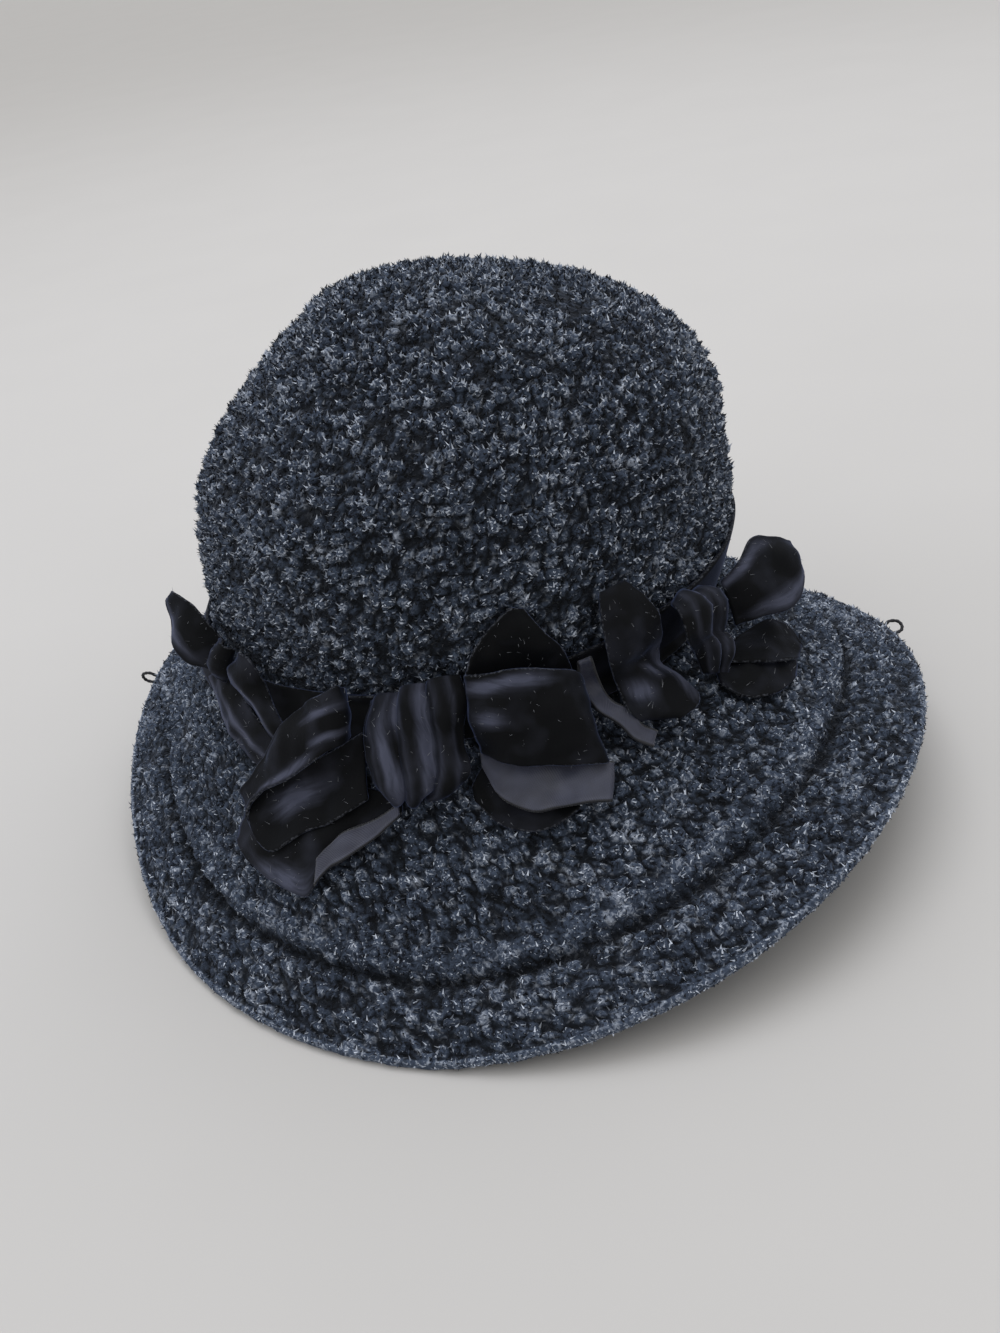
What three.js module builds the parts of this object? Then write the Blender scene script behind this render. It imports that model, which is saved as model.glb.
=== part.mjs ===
// A cloche hat of thick heather yarn with black velvet ribbon tied in bows round its crown.
// Millimetres, +Z up. The hat rests on its brim on the plane z = 0, with its front toward -Y.
// A place on the hat is given by its turn, the angle in degrees round the hat from the front
// toward +X, and by a distance in mm up the crown or down the brim from the seam between them.

import * as THREE from 'three';
import { mergeVertices } from 'three/addons/utils/BufferGeometryUtils.js';

// ---- Driving sizes ----------------------------------------------------------------------

const KNIT = 5; // thickness of the knitted walls
const VELVET = 1.2; // thickness of the ribbon
const GAP = 0.3; // air left between pieces that touch

const TO_MIDDLE = -3; // moves the finished hat along X, so that its box is centred on the origin

const FACETS = 60; // flat sides round the crown and the brim
const CROWN_STEP = 0.5; // rows of the crown's table from one ring of its outer facets to the next
const INNER_STEPS = 7; // rows of facets on the inside of the crown

// The crown: its foot is the seam ring, set over the brim and tipped a little.
const CROWN_FOOT = new THREE.Vector3(-11, -1, 79.5);
const CROWN_TO_FRONT = 2; // degrees that the crown tips toward the front
const CROWN_TO_RIGHT = 6; // degrees that it tips toward +X

// One row for each level of the crown: height above the seam, and how far the outer face
// stands from the crown's axis on each side.
const CROWN_LEVELS = [
  { rise: 0, left: 91, right: 92, front: 92, back: 92 },
  { rise: 26, left: 93, right: 98, front: 96, back: 96 },
  { rise: 50, left: 88, right: 97, front: 92, back: 92 },
  { rise: 73, left: 72, right: 93, front: 85, back: 85 },
  { rise: 91, left: 55, right: 78, front: 68, back: 69 },
  { rise: 103, left: 41, right: 52, front: 46, back: 47 },
  { rise: 109, left: 20, right: 24, front: 20, back: 22 },
  { rise: 111, left: 0, right: 0, front: 0, back: 0 },
];

const CROWN_MIDDLE = 50; // height above the seam of the point that the dents press toward

// Soft dents in the crown: where each is centred, how wide it spreads and how deep it is.
const CROWN_DENTS = [
  { turn: -28, rise: 96, wide: 24, deep: 5 },
  { turn: 20, rise: 84, wide: 30, deep: 4 },
  { turn: -62, rise: 52, wide: 26, deep: 3 },
  { turn: 75, rise: 70, wide: 22, deep: 3 },
  { turn: 170, rise: 80, wide: 30, deep: 4 },
];

// The brim: its edge is a ring that is longer than it is wide and lifts off the floor at the
// right front and the left back. The rest of the edge lies on the floor, pressed flat.
const EDGE_REACH = 163; // mean distance of the edge from the hat's middle
const EDGE_STRETCH = 12.5; // more than that at front and back, less at the sides
const EDGE_REST = 3.6; // height of the upper face at the edge, where the brim lies on the floor
const EDGE_LIFT = 12.5; // mean height of the edge above that
const EDGE_NOD = { front: 1.5, side: -1.5 }; // tip of the whole edge
const EDGE_WAVE = { front: -7, corner: 16.5 }; // two-fold wave of the edge
const BRIM_FLARE = 1.1; // the brim falls steeply from the seam (1 is straight)
const LAST_SLOPE = 0.98; // share of the way to the edge where the slope at the edge is taken
const BRIM_EASE = 1.25; // and flattens toward the edge (1 is straight)

// The puffy band along the edge of the brim, and the groove and ridge behind it.
const BAND_WIDE = 25;
const BAND_PUFF = 1.4;
const GROOVE = { deep: 2.4, wide: 2.6 };
const RIDGE = { high: 1.2, wide: 3, behind: 6 };

// Rows of facets down the brim: shares of its length, then distances in mm from the edge.
const BRIM_SHARES = [0, 0.14, 0.3, 0.46];
const BRIM_FROM_EDGE = [36, 31, 25, 19, 12, 5, 0];
const BRIM_UNDER_FROM_EDGE = [0, 3, 12, 28];
const BRIM_UNDER_SHARES = [0.45, 0.2, 0];
const EDGE_ROUND_STEPS = 2;

// Ribbons lie on the hat between two edges, a and b. Each edge point is a turn in degrees, a
// distance down the hat from the seam in mm (up the crown is negative), and off, the distance
// that it stands off the knit in mm. Swell rounds the ribbon outward between its edges.
const RIBBON_STEPS = 2; // facets along the ribbon from one row to the next
const FOLD_ROUNDING = 22; // the seam's inside corner is eased over this distance each way
const BRIM_SLOPE = 48; // degrees that the brim's face leans back from upright near the seam

// The band of ribbon round the crown's foot, higher up the crown on its +X side.
const BAND = { top: -10, topTilt: -17, foot: 10, footTilt: -9, off: 1.4, steps: 2 };

const RIBBONS = {
  left_bow_loop: {
    finish: 'velvet',
    rows: [
      { a: [-62, -3, 4], b: [-64, 10, 8], swell: 1 },
      { a: [-64, -9, 6], b: [-67, 12, 13], swell: 2 },
      { a: [-67, -14, 8], b: [-70, 9, 17], swell: 2 },
      { a: [-70, -17, 10], b: [-73, 0, 18], swell: 1 },
      { a: [-74, -17, 12], b: [-76, -11, 15], swell: 0 },
      { a: [-79, -6, 11], b: [-80, 6, 15], swell: 0 },
      { a: [-77, 2, 6], b: [-78, 14, 9], swell: 0 },
      { a: [-70, 4, 4], b: [-71, 12, 5], swell: 0 },
    ],
  },
  left_bow_knot: {
    finish: 'velvet',
    rows: [
      { a: [-63, 9, 6], b: [-59, -8, 6], swell: 1 },
      { a: [-61, 9, 9], b: [-55, -10, 9], swell: 3 },
      { a: [-58, 9, 6], b: [-54, -8, 6], swell: 1 },
    ],
  },
  left_swag_upper: {
    finish: 'velvet',
    rows: [
      { a: [-55, 6, 8], b: [-50, -11, 8], swell: 1 },
      { a: [-52, 8, 9], b: [-46, -10, 9], swell: 3 },
      { a: [-49, 10, 9], b: [-44, 1, 9], swell: 3 },
      { a: [-44, 14, 9], b: [-41, 9, 9], swell: 2 },
      { a: [-40, 19, 8], b: [-38, 16, 8], swell: 1 },
    ],
  },
  left_swag_lower: {
    finish: 'velvet',
    rows: [
      { a: [-67, 14, 4], b: [-62, 7, 4], swell: 1 },
      { a: [-62, 19, 4], b: [-54, 10, 5], swell: 2 },
      { a: [-57, 24, 4], b: [-48, 15, 5], swell: 2 },
      { a: [-51, 27, 4], b: [-44, 18, 5], swell: 2 },
      { a: [-44, 29, 4], b: [-40, 22, 5], swell: 1 },
    ],
  },
  front_bow_left_loop: {
    finish: 'velvet',
    rows: [
      { a: [-25, -10, 8], b: [-25, 12, 8], swell: 1 },
      { a: [-25, -14, 12], b: [-25, 15, 13], swell: 2 },
      { a: [-27, -11, 14], b: [-27, 18, 15], swell: 2 },
      { a: [-33, 4, 14], b: [-30, 23, 15], swell: 2 },
      { a: [-39, 20, 13], b: [-35, 30, 14], swell: 1 },
      { a: [-43, 32, 12], b: [-41, 37, 12], swell: 0 },
      { a: [-46, 38, 9], b: [-44, 45, 8], swell: 0 },
      { a: [-44, 36, 7], b: [-39, 52, 6], swell: 1 },
      { a: [-38, 27, 6], b: [-33, 43, 6], swell: 1 },
      { a: [-30, 19, 6], b: [-27, 37, 6], swell: 1 },
      { a: [-23, 10, 6], b: [-22, 30, 6], swell: 0 },
    ],
  },
  front_bow_left_tail: {
    finish: 'velvet',
    rows: [
      { a: [-48, 45, 2], b: [-48, 54, 2], swell: 0 },
      { a: [-44, 40, 2], b: [-44, 58, 2], swell: 1 },
      { a: [-40, 36, 2], b: [-37, 61, 3], swell: 1 },
      { a: [-35, 32, 2], b: [-32, 62, 3], swell: 1 },
      { a: [-31, 29, 2], b: [-30, 54, 3], swell: 1 },
      { a: [-26, 27, 2], b: [-26, 48, 2.5], swell: 0.5 },
      { a: [-21, 27, 2], b: [-22, 39, 2], swell: 0 },
      { a: [-17, 29, 2], b: [-17, 33, 2], swell: 0 },
    ],
  },
  front_bow_turned_edge: {
    finish: 'satin',
    rows: [
      { a: [-30, 50, 6], b: [-30, 58, 5], swell: 0 },
      { a: [-28, 45, 6], b: [-28, 52, 5.5], swell: 0 },
      { a: [-26, 41, 6], b: [-26, 49, 5], swell: 0 },
      { a: [-21, 36, 5], b: [-21, 41, 4.5], swell: 0 },
      { a: [-17, 31, 5], b: [-17, 34, 4.5], swell: 0 },
    ],
  },
  front_bow_knot: {
    finish: 'velvet',
    pleats: { count: 3, deep: 3.5, steps: 12 },
    rows: [
      { a: [-21, -2, 4], b: [-4, -16, 4], swell: 1 },
      { a: [-22, 8, 9], b: [-3, -8, 9], swell: 2 },
      { a: [-21, 18, 11], b: [-4, 12, 11], swell: 2 },
      { a: [-20, 26, 9], b: [-5, 24, 9], swell: 2 },
      { a: [-19, 29, 4], b: [-10, 27, 4], swell: 1 },
    ],
  },
  front_bow_peak: {
    finish: 'velvet',
    rows: [
      { a: [-3, -2, 6], b: [17, 4, 6], swell: 2 },
      { a: [-3, -12, 5], b: [18, -3, 5], swell: 2 },
      { a: [-1, -25, 4], b: [15, -20, 4], swell: 2 },
      { a: [3, -34, 4], b: [11, -29, 4], swell: 1 },
      { a: [6, -38, 4], b: [8, -37, 4], swell: 0 },
    ],
  },
  front_bow_right_loop: {
    finish: 'velvet',
    rows: [
      { a: [-3, -18, 8], b: [-2, 17, 8], swell: 1 },
      { a: [1, -20, 11], b: [0, 20, 11], swell: 2 },
      { a: [5, -22, 13], b: [4, 24, 13], swell: 2 },
      { a: [10, -20, 13], b: [8, 26, 13], swell: 2 },
      { a: [16, -14, 12], b: [14, 29, 12], swell: 1 },
      { a: [18, 2, 10], b: [16, 29, 9], swell: 0 },
      { a: [17, 0, 8.5], b: [15, 24, 6.5], swell: 0 },
      { a: [11, -3, 8], b: [11, 20, 6], swell: 0 },
    ],
  },
  front_bow_right_tail: {
    finish: 'satin',
    rows: [
      { a: [-2, 14, 5], b: [-2, 19, 5], swell: 0 },
      { a: [0, 17, 6.5], b: [-1, 30, 6], swell: 0.5 },
      { a: [4, 19, 8], b: [3, 37, 7], swell: 0.5 },
      { a: [9, 22, 8.5], b: [7, 38, 8], swell: 0.5 },
      { a: [14, 27, 8.5], b: [11, 39, 8], swell: 0.5 },
      { a: [17, 30, 8], b: [14, 41, 7.5], swell: 0 },
    ],
  },
  front_bow_under_tail: {
    finish: 'velvet',
    rows: [
      { a: [-5, 26, 2], b: [-5, 30, 2], swell: 0 },
      { a: [-2, 20, 2], b: [-2, 38, 2.5], swell: 0 },
      { a: [4, 20, 2], b: [2, 42, 3], swell: 0 },
      { a: [8, 24, 2], b: [6, 42, 3], swell: 0 },
      { a: [10, 32, 2], b: [10, 39, 2.5], swell: 0 },
    ],
  },
  front_bow_satin_fold: {
    finish: 'satin',
    rows: [
      { a: [17, -16, 8], b: [19, -18, 9], swell: 0 },
      { a: [19, -1, 9], b: [22, -2, 10], swell: 0 },
      { a: [19, 11, 10], b: [22, 10, 11], swell: 0 },
      { a: [21, 20, 10], b: [24, 17, 11], swell: 0 },
      { a: [22, 26, 9], b: [24, 22, 10], swell: 0 },
      { a: [24, 30, 8], b: [26, 26, 8], swell: 0 },
    ],
  },
  right_bow_inner_loop: {
    finish: 'velvet',
    rows: [
      { a: [22, -37, 4], b: [27, -38, 4], swell: 1 },
      { a: [21, -32, 8], b: [30, -32, 8], swell: 2 },
      { a: [21, -24, 11], b: [32, -24, 11], swell: 2 },
      { a: [22, -14, 12.5], b: [35, 0, 12], swell: 2 },
      { a: [24, 6, 13.5], b: [36, 17, 12], swell: 2 },
      { a: [23, 16, 13], b: [34, 25, 12], swell: 1 },
      { a: [24, 21, 11], b: [30, 26, 11], swell: 0 },
      { a: [26, 18, 8], b: [33, 22, 8], swell: 0 },
      { a: [28, 9, 7], b: [37, 16, 7], swell: 0 },
    ],
  },
  right_bow_knot: {
    finish: 'velvet',
    pleats: { count: 2, deep: 3.5, steps: 8 },
    rows: [
      { a: [36, -26, 8], b: [49, -18, 6], swell: 1 },
      { a: [35, -25, 14], b: [50, -16, 11], swell: 2 },
      { a: [36, -15, 17], b: [50, 4, 14], swell: 2 },
      { a: [40, 7, 17], b: [47, 15, 14], swell: 2 },
      { a: [40, 17, 11], b: [44, 21, 9], swell: 0 },
    ],
  },
  right_bow_upper_loop: {
    finish: 'velvet',
    rows: [
      { a: [52, -21, 8], b: [51, 9, 18], swell: 1 },
      { a: [55, -26, 11], b: [54, 16, 22], swell: 2 },
      { a: [59, -31, 12], b: [58, 22, 25], swell: 2 },
      { a: [63, -29, 17], b: [62, 22, 29], swell: 2 },
      { a: [67, -23, 22], b: [66, -10, 31], swell: 1 },
      { a: [71, -17, 19], b: [70, 22, 20], swell: 0 },
      { a: [70, -17, 12], b: [69, 22, 13], swell: 0 },
      { a: [65, -11, 9], b: [63, 17, 9], swell: 0 },
    ],
  },
  right_bow_lower_loop: {
    finish: 'velvet',
    rows: [
      { a: [55, 16, 5], b: [48, 18, 5], swell: 0 },
      { a: [60, 18, 7], b: [50, 23, 7], swell: 1 },
      { a: [64, 24, 9], b: [52, 29, 9], swell: 2 },
      { a: [64, 31, 9], b: [55, 34, 9], swell: 1 },
      { a: [62, 36, 8], b: [58, 37, 8], swell: 0 },
    ],
  },
  right_bow_lower_tail: {
    finish: 'velvet',
    rows: [
      { a: [46, 19, 3], b: [44, 23, 3], swell: 0 },
      { a: [52, 19, 4], b: [44, 29, 4], swell: 1 },
      { a: [55, 24, 4.5], b: [46, 35, 4.5], swell: 2 },
      { a: [58, 31, 4.5], b: [50, 39, 4.5], swell: 2 },
      { a: [59, 37, 4], b: [55, 40, 4], swell: 1 },
    ],
  },
};

// Two small cord loops sewn to the edge of the brim. Twist turns a loop from lying flat (0)
// to standing upright (90).
const LOOP_CORD = 1.3; // diameter of the cord
const LOOP_STEPS = 12; // facets along the cord
const LOOP_HALF_SIDES = 3; // flat sides on half of the cord's section
const LOOP_OUTLINE = [
  { out: 0, side: 1 },
  { out: 2.6, side: 3 },
  { out: 5.8, side: 2.3 },
  { out: 6.8, side: 0 },
  { out: 5.8, side: -2.3 },
  { out: 2.6, side: -3 },
  { out: 0, side: -1 },
];
const EDGE_LOOPS = [
  { name: 'edge_loop_left', turn: -109, twist: 70 },
  { name: 'edge_loop_right', turn: 93, twist: 25 },
];

const MATERIALS = {
  yarn: new THREE.MeshStandardMaterial({ color: '#34373f', roughness: 0.95, metalness: 0 }),
  velvet: new THREE.MeshStandardMaterial({ color: '#0b0c10', roughness: 0.85, metalness: 0 }),
  satin: new THREE.MeshStandardMaterial({ color: '#4a4a54', roughness: 0.45, metalness: 0 }),
  cord: new THREE.MeshStandardMaterial({ color: '#141416', roughness: 0.7, metalness: 0 }),
};

// ---- Small tools ------------------------------------------------------------------------

const radians = THREE.MathUtils.degToRad;

/** Smooth curve through four values, at share f of the way from p1 to p2. */
function throughFour(p0, p1, p2, p3, f) {
  const slope1 = (p2 - p0) / 2;
  const slope2 = (p3 - p1) / 2;
  const bend = 2 * (p1 - p2) + slope1 + slope2;
  const pull = 3 * (p2 - p1) - 2 * slope1 - slope2;
  return ((bend * f + pull) * f + slope1) * f + p1;
}

/** Value of a smooth curve through a list of numbers, at a place counted in rows. */
function alongRows(values, place) {
  const last = values.length - 1;
  const i = Math.min(Math.floor(place), last - 1);
  const before = values[Math.max(i - 1, 0)];
  const after = values[Math.min(i + 2, last)];
  return throughFour(before, values[i], values[i + 1], after, place - i);
}

/** Bump of height 1 at 0 that dies away over about one width. */
const bump = (distance, wide) => Math.exp(-((distance / wide) ** 2));

/** Joins rings of points into one closed solid. An open row of rings gets flat caps. */
function solid(rings, endless) {
  const across = rings[0].length;
  const faces = [];
  const quad = (a, b, c, d) => faces.push([a, b, c], [a, c, d]);
  const spans = endless ? rings.length : rings.length - 1;
  for (let i = 0; i < spans; i++) {
    const here = i * across;
    const next = ((i + 1) % rings.length) * across;
    for (let j = 0; j < across; j++) {
      const k = (j + 1) % across;
      quad(here + j, here + k, next + k, next + j);
    }
  }
  if (!endless) {
    const end = (rings.length - 1) * across;
    for (let j = 0; j < across / 2 - 1; j++) {
      const facing = across - 1 - j;
      quad(facing, facing - 1, j + 1, j);
      quad(end + j, end + j + 1, end + facing - 1, end + facing);
    }
  }
  return closedGeometry(rings.flat(), faces);
}

/** Geometry from points and faces: meeting points are joined and the faces turned outward. */
function closedGeometry(points, faces) {
  const loose = new THREE.BufferGeometry().setFromPoints(points);
  loose.setIndex(faces.flat());
  const geometry = mergeVertices(loose, 1e-3);
  const corner = (i) => new THREE.Vector3().fromBufferAttribute(geometry.attributes.position, i);
  const index = Array.from(geometry.index.array);
  const kept = [];
  let volume = 0;
  for (let i = 0; i < index.length; i += 3) {
    const [a, b, c] = index.slice(i, i + 3);
    if (a !== b && b !== c && c !== a) {
      kept.push([a, b, c]);
      volume += corner(a).dot(corner(b).cross(corner(c)));
    }
  }
  geometry.setIndex(kept.flatMap(([a, b, c]) => (volume > 0 ? [a, b, c] : [a, c, b])));
  geometry.computeVertexNormals();
  return geometry;
}

const STEP = 0.01; // how far normalOf looks to each side, in degrees and in place

/** Normal of a face given as a function of turn and place. */
function normalOf(face, turn, place) {
  const round = face(turn + STEP, place).sub(face(turn - STEP, place));
  const up = face(turn, place + STEP).sub(face(turn, place - STEP));
  return round.cross(up).normalize();
}

// ---- The crown --------------------------------------------------------------------------

const crownTip = new THREE.Matrix4()
  .makeRotationX(radians(CROWN_TO_FRONT))
  .multiply(new THREE.Matrix4().makeRotationY(radians(CROWN_TO_RIGHT)));
const crownAxis = new THREE.Vector3(0, 0, 1).applyMatrix4(crownTip);
const CROWN_TOP = CROWN_LEVELS.length - 1;
const crownColumn = (name) => CROWN_LEVELS.map((level) => level[name]);
const RISE = crownColumn('rise');
const REACH = {
  left: crownColumn('left'),
  right: crownColumn('right'),
  front: crownColumn('front'),
  back: crownColumn('back'),
};

/** Point on the smooth outer face of the crown, at a place counted in rows of its table. */
function smoothCrown(turn, place) {
  const angle = radians(turn);
  const side = Math.sin(angle);
  const front = Math.cos(angle);
  const x = side * alongRows(side > 0 ? REACH.right : REACH.left, place);
  const y = -front * alongRows(front > 0 ? REACH.front : REACH.back, place);
  const point = new THREE.Vector3(x, y, alongRows(RISE, place));
  return point.applyMatrix4(crownTip).add(CROWN_FOOT);
}

/** Place in the crown's table, counted in rows, at a height above the seam. */
function crownPlace(rise) {
  let low = 0;
  let high = CROWN_TOP;
  while (high - low > 1e-4) {
    const middle = (low + high) / 2;
    if (alongRows(RISE, middle) < rise) low = middle;
    else high = middle;
  }
  return low;
}

const dents = CROWN_DENTS.map((dent) => ({
  ...dent,
  centre: smoothCrown(dent.turn, crownPlace(dent.rise)),
}));

/** Outer face of the crown with its dents, which press it in toward the crown's middle. */
function crownFace(turn, place) {
  const point = smoothCrown(turn, place);
  const middle = CROWN_FOOT.clone().addScaledVector(crownAxis, CROWN_MIDDLE);
  const inward = middle.sub(point).normalize();
  for (const dent of dents) {
    const depth = dent.deep * bump(point.distanceTo(dent.centre), dent.wide);
    point.addScaledVector(inward, depth);
  }
  return point;
}

/** Direction of the seam: halfway between the crown's outer normal and the brim's. */
function seamNormal(turn) {
  const lean = radians(BRIM_SLOPE / 2);
  const angle = radians(turn);
  const flat = Math.cos(lean);
  return new THREE.Vector3(flat * Math.sin(angle), -flat * Math.cos(angle), Math.sin(lean));
}

/** Moves a point from the outer face to the inner one, and off the seam by half the gap. */
function intoCrown(turn, place) {
  const point = crownFace(turn, place);
  if (place >= CROWN_TOP) return point.addScaledVector(crownAxis, -KNIT);
  if (place <= 0) return point.addScaledVector(seamNormal(turn), -KNIT);
  const normal = normalOf(crownFace, turn, place);
  return point.addScaledVector(normal, -KNIT);
}

function crown() {
  const lift = crownAxis.clone().multiplyScalar(GAP / 2);
  const outer = [];
  for (let place = 0; place < CROWN_TOP; place += CROWN_STEP) outer.push(place);
  outer.push(CROWN_TOP);
  const inner = [];
  for (let i = 0; i <= INNER_STEPS; i++) inner.push(CROWN_TOP * (1 - i / INNER_STEPS));
  const rings = [];
  for (let i = 0; i < FACETS; i++) {
    const turn = (360 * i) / FACETS;
    const ring = [
      ...outer.map((place) => crownFace(turn, place)),
      ...inner.map((place) => intoCrown(turn, place)),
    ];
    rings.push(ring.map((point) => point.add(lift)));
  }
  return solid(rings, true);
}

// ---- The brim ---------------------------------------------------------------------------

/** Upper face at the very edge of the brim. */
function brimEdge(turn) {
  const angle = radians(turn);
  const reach = EDGE_REACH + EDGE_STRETCH * Math.cos(2 * angle);
  const nod = EDGE_NOD.front * Math.cos(angle) + EDGE_NOD.side * Math.sin(angle);
  const wave = EDGE_WAVE.front * Math.cos(2 * angle) + EDGE_WAVE.corner * Math.sin(2 * angle);
  const lift = Math.max(EDGE_LIFT + nod + wave, 0);
  return new THREE.Vector3(reach * Math.sin(angle), -reach * Math.cos(angle), EDGE_REST + lift);
}

const brimLength = (turn) => smoothCrown(turn, 0).distanceTo(brimEdge(turn));

/** Upper face of the brim without its edge band, at a share of the way from seam to edge. */
function smoothBrim(turn, share) {
  const seam = smoothCrown(turn, 0);
  const edge = brimEdge(turn);
  const near = Math.max(share, 0);
  const far = Math.min(share, 1);
  const out = near ** BRIM_FLARE;
  const fall = 1 - (1 - far) ** BRIM_EASE;
  const x = seam.x + (edge.x - seam.x) * out;
  const y = seam.y + (edge.y - seam.y) * out;
  return new THREE.Vector3(x, y, seam.z + (edge.z - seam.z) * fall);
}

/** Height of the edge band, its groove and its ridge above the smooth brim. */
function bandRelief(fromEdge) {
  const groove = GROOVE.deep * bump(fromEdge - BAND_WIDE, GROOVE.wide);
  const ridge = RIDGE.high * bump(fromEdge - BAND_WIDE - RIDGE.behind, RIDGE.wide);
  const puff = fromEdge < BAND_WIDE ? BAND_PUFF * Math.sin((Math.PI * fromEdge) / BAND_WIDE) : 0;
  return puff + ridge - groove;
}

function brimNormal(turn, share) {
  if (share <= 0) return seamNormal(turn);
  return normalOf(smoothBrim, turn, Math.min(share, LAST_SLOPE)).negate();
}

/** One closed outline of the brim at a turn: over the top, round the edge, back underneath. */
function brimSection(turn) {
  const length = brimLength(turn);
  const drop = crownAxis.clone().multiplyScalar(-GAP / 2);
  const at = (share, depth) =>
    smoothBrim(turn, share).addScaledVector(brimNormal(turn, share), -depth).add(drop);
  const top = [...BRIM_SHARES, ...BRIM_FROM_EDGE.map((mm) => 1 - mm / length)];
  const under = [...BRIM_UNDER_FROM_EDGE.map((mm) => 1 - mm / length), ...BRIM_UNDER_SHARES];
  const ring = top.map((share) => at(share, -bandRelief((1 - share) * length)));
  const outward = new THREE.Vector3(brimEdge(turn).x, brimEdge(turn).y, 0).normalize();
  for (let i = 1; i <= EDGE_ROUND_STEPS; i++) {
    const angle = (Math.PI * i) / (EDGE_ROUND_STEPS + 1);
    const depth = (KNIT / 2) * (1 - Math.cos(angle));
    ring.push(at(1, depth).addScaledVector(outward, (KNIT / 2) * Math.sin(angle)));
  }
  ring.push(...under.map((share) => at(share, KNIT)));
  for (const point of ring) point.z = Math.max(point.z, 0);
  return ring;
}

function brim() {
  const rings = [];
  for (let i = 0; i < FACETS; i++) rings.push(brimSection((360 * i) / FACETS));
  return solid(rings, true);
}

// ---- Ribbons ----------------------------------------------------------------------------

/** Point that stands off the hat's outer face: at a turn, a distance down from the seam. */
function onHat(turn, down, off) {
  const face = down < 0 ? smoothCrown(turn, crownPlace(-down)) : onBrim(turn, down);
  const share = THREE.MathUtils.smoothstep(down, -FOLD_ROUNDING, FOLD_ROUNDING);
  const lean = radians(BRIM_SLOPE * share);
  const angle = radians(turn);
  const flat = Math.cos(lean);
  const away = new THREE.Vector3(flat * Math.sin(angle), -flat * Math.cos(angle), Math.sin(lean));
  return face.addScaledVector(away, off);
}

const onBrim = (turn, down) => smoothBrim(turn, Math.min(down / brimLength(turn), 1));

/** Closed solid of a ribbon from a grid of points on its middle layer. */
function thicken(grid, endless) {
  const last = grid.length - 1;
  const rings = grid.map((row, i) => {
    const ahead = grid[i < last ? i + 1 : endless ? 0 : last];
    const behind = grid[i > 0 ? i - 1 : endless ? last : 0];
    const sides = row.map((point, j) => {
      const along = ahead[j].clone().sub(behind[j]);
      const right = row[Math.min(j + 1, row.length - 1)];
      const across = right.clone().sub(row[Math.max(j - 1, 0)]);
      const normal = along.cross(across).normalize().multiplyScalar(VELVET / 2);
      return [point.clone().add(normal), point.clone().sub(normal)];
    });
    return [...sides.map((pair) => pair[0]), ...sides.map((pair) => pair[1]).reverse()];
  });
  return solid(rings, endless);
}

/** Smooth curve through the rows' points on one edge of a ribbon, at a place in rows. */
function ribbonEdge(rows, edge, place) {
  const points = rows.map((row) => onHat(...row[edge]));
  const along = (axis) => alongRows(points.map((point) => point[axis]), place);
  return new THREE.Vector3(along('x'), along('y'), along('z'));
}

/** Ribbon through the rows of its table, straight across from its edge a to its edge b. */
function ribbon({ rows, pleats = { count: 0, deep: 0, steps: 3 } }) {
  const steps = (rows.length - 1) * RIBBON_STEPS;
  const places = Array.from({ length: steps + 1 }, (_, i) => i / RIBBON_STEPS);
  const edgeA = places.map((place) => ribbonEdge(rows, 'a', place));
  const edgeB = places.map((place) => ribbonEdge(rows, 'b', place));
  const swells = rows.map((row) => row.swell);
  const normals = places.map((_, i) => {
    const ahead = edgeA[Math.min(i + 1, steps)].clone().add(edgeB[Math.min(i + 1, steps)]);
    const behind = edgeA[Math.max(i - 1, 0)].clone().add(edgeB[Math.max(i - 1, 0)]);
    return ahead.sub(behind).cross(edgeB[i].clone().sub(edgeA[i])).normalize();
  });
  const early = Math.round(steps / 4);
  const outward = edgeA[early].clone().setZ(0).dot(normals[early]) > 0 ? 1 : -1;
  const grid = places.map((place, i) => {
    const row = [];
    for (let j = 0; j <= pleats.steps; j++) {
      const share = j / pleats.steps;
      const pleat = pleats.deep * Math.abs(Math.sin(Math.PI * pleats.count * share));
      const height = alongRows(swells, place) * Math.sin(Math.PI * share) + pleat;
      row.push(edgeA[i].clone().lerp(edgeB[i], share).addScaledVector(normals[i], outward * height));
    }
    return row;
  });
  return thicken(grid, false);
}

function ribbonBand() {
  const grid = [];
  for (let i = 0; i < FACETS; i++) {
    const turn = (360 * i) / FACETS;
    const side = Math.sin(radians(turn));
    const row = [];
    for (let j = 0; j <= BAND.steps; j++) {
      const top = BAND.top + BAND.topTilt * side;
      const foot = BAND.foot + BAND.footTilt * side;
      row.push(onHat(turn, THREE.MathUtils.lerp(top, foot, j / BAND.steps), BAND.off));
    }
    grid.push(row);
  }
  return thicken(grid, true);
}

// ---- Cord loops -------------------------------------------------------------------------

function edgeLoop({ turn, twist }) {
  const edge = brimEdge(turn);
  const out = new THREE.Vector3(edge.x, edge.y, 0).normalize();
  const round = new THREE.Vector3(-out.y, out.x, 0);
  const side = round.multiplyScalar(Math.cos(radians(twist)));
  side.z = Math.sin(radians(twist));
  const root = edge.clone().addScaledVector(out, KNIT / 2 + GAP);
  root.z -= KNIT / 2;
  const points = LOOP_OUTLINE.map((point) =>
    root.clone().addScaledVector(out, point.out).addScaledVector(side, point.side));
  const section = new THREE.Shape();
  section.absarc(0, 0, LOOP_CORD / 2, 0, 2 * Math.PI);
  return new THREE.ExtrudeGeometry(section, {
    extrudePath: new THREE.CatmullRomCurve3(points),
    steps: LOOP_STEPS,
    curveSegments: LOOP_HALF_SIDES,
  });
}

// ---- The hat ----------------------------------------------------------------------------

const hat = new THREE.Group();

function add(name, geometry, material) {
  const mesh = new THREE.Mesh(geometry.translate(TO_MIDDLE, 0, 0), MATERIALS[material]);
  mesh.name = name;
  hat.add(mesh);
}

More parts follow.
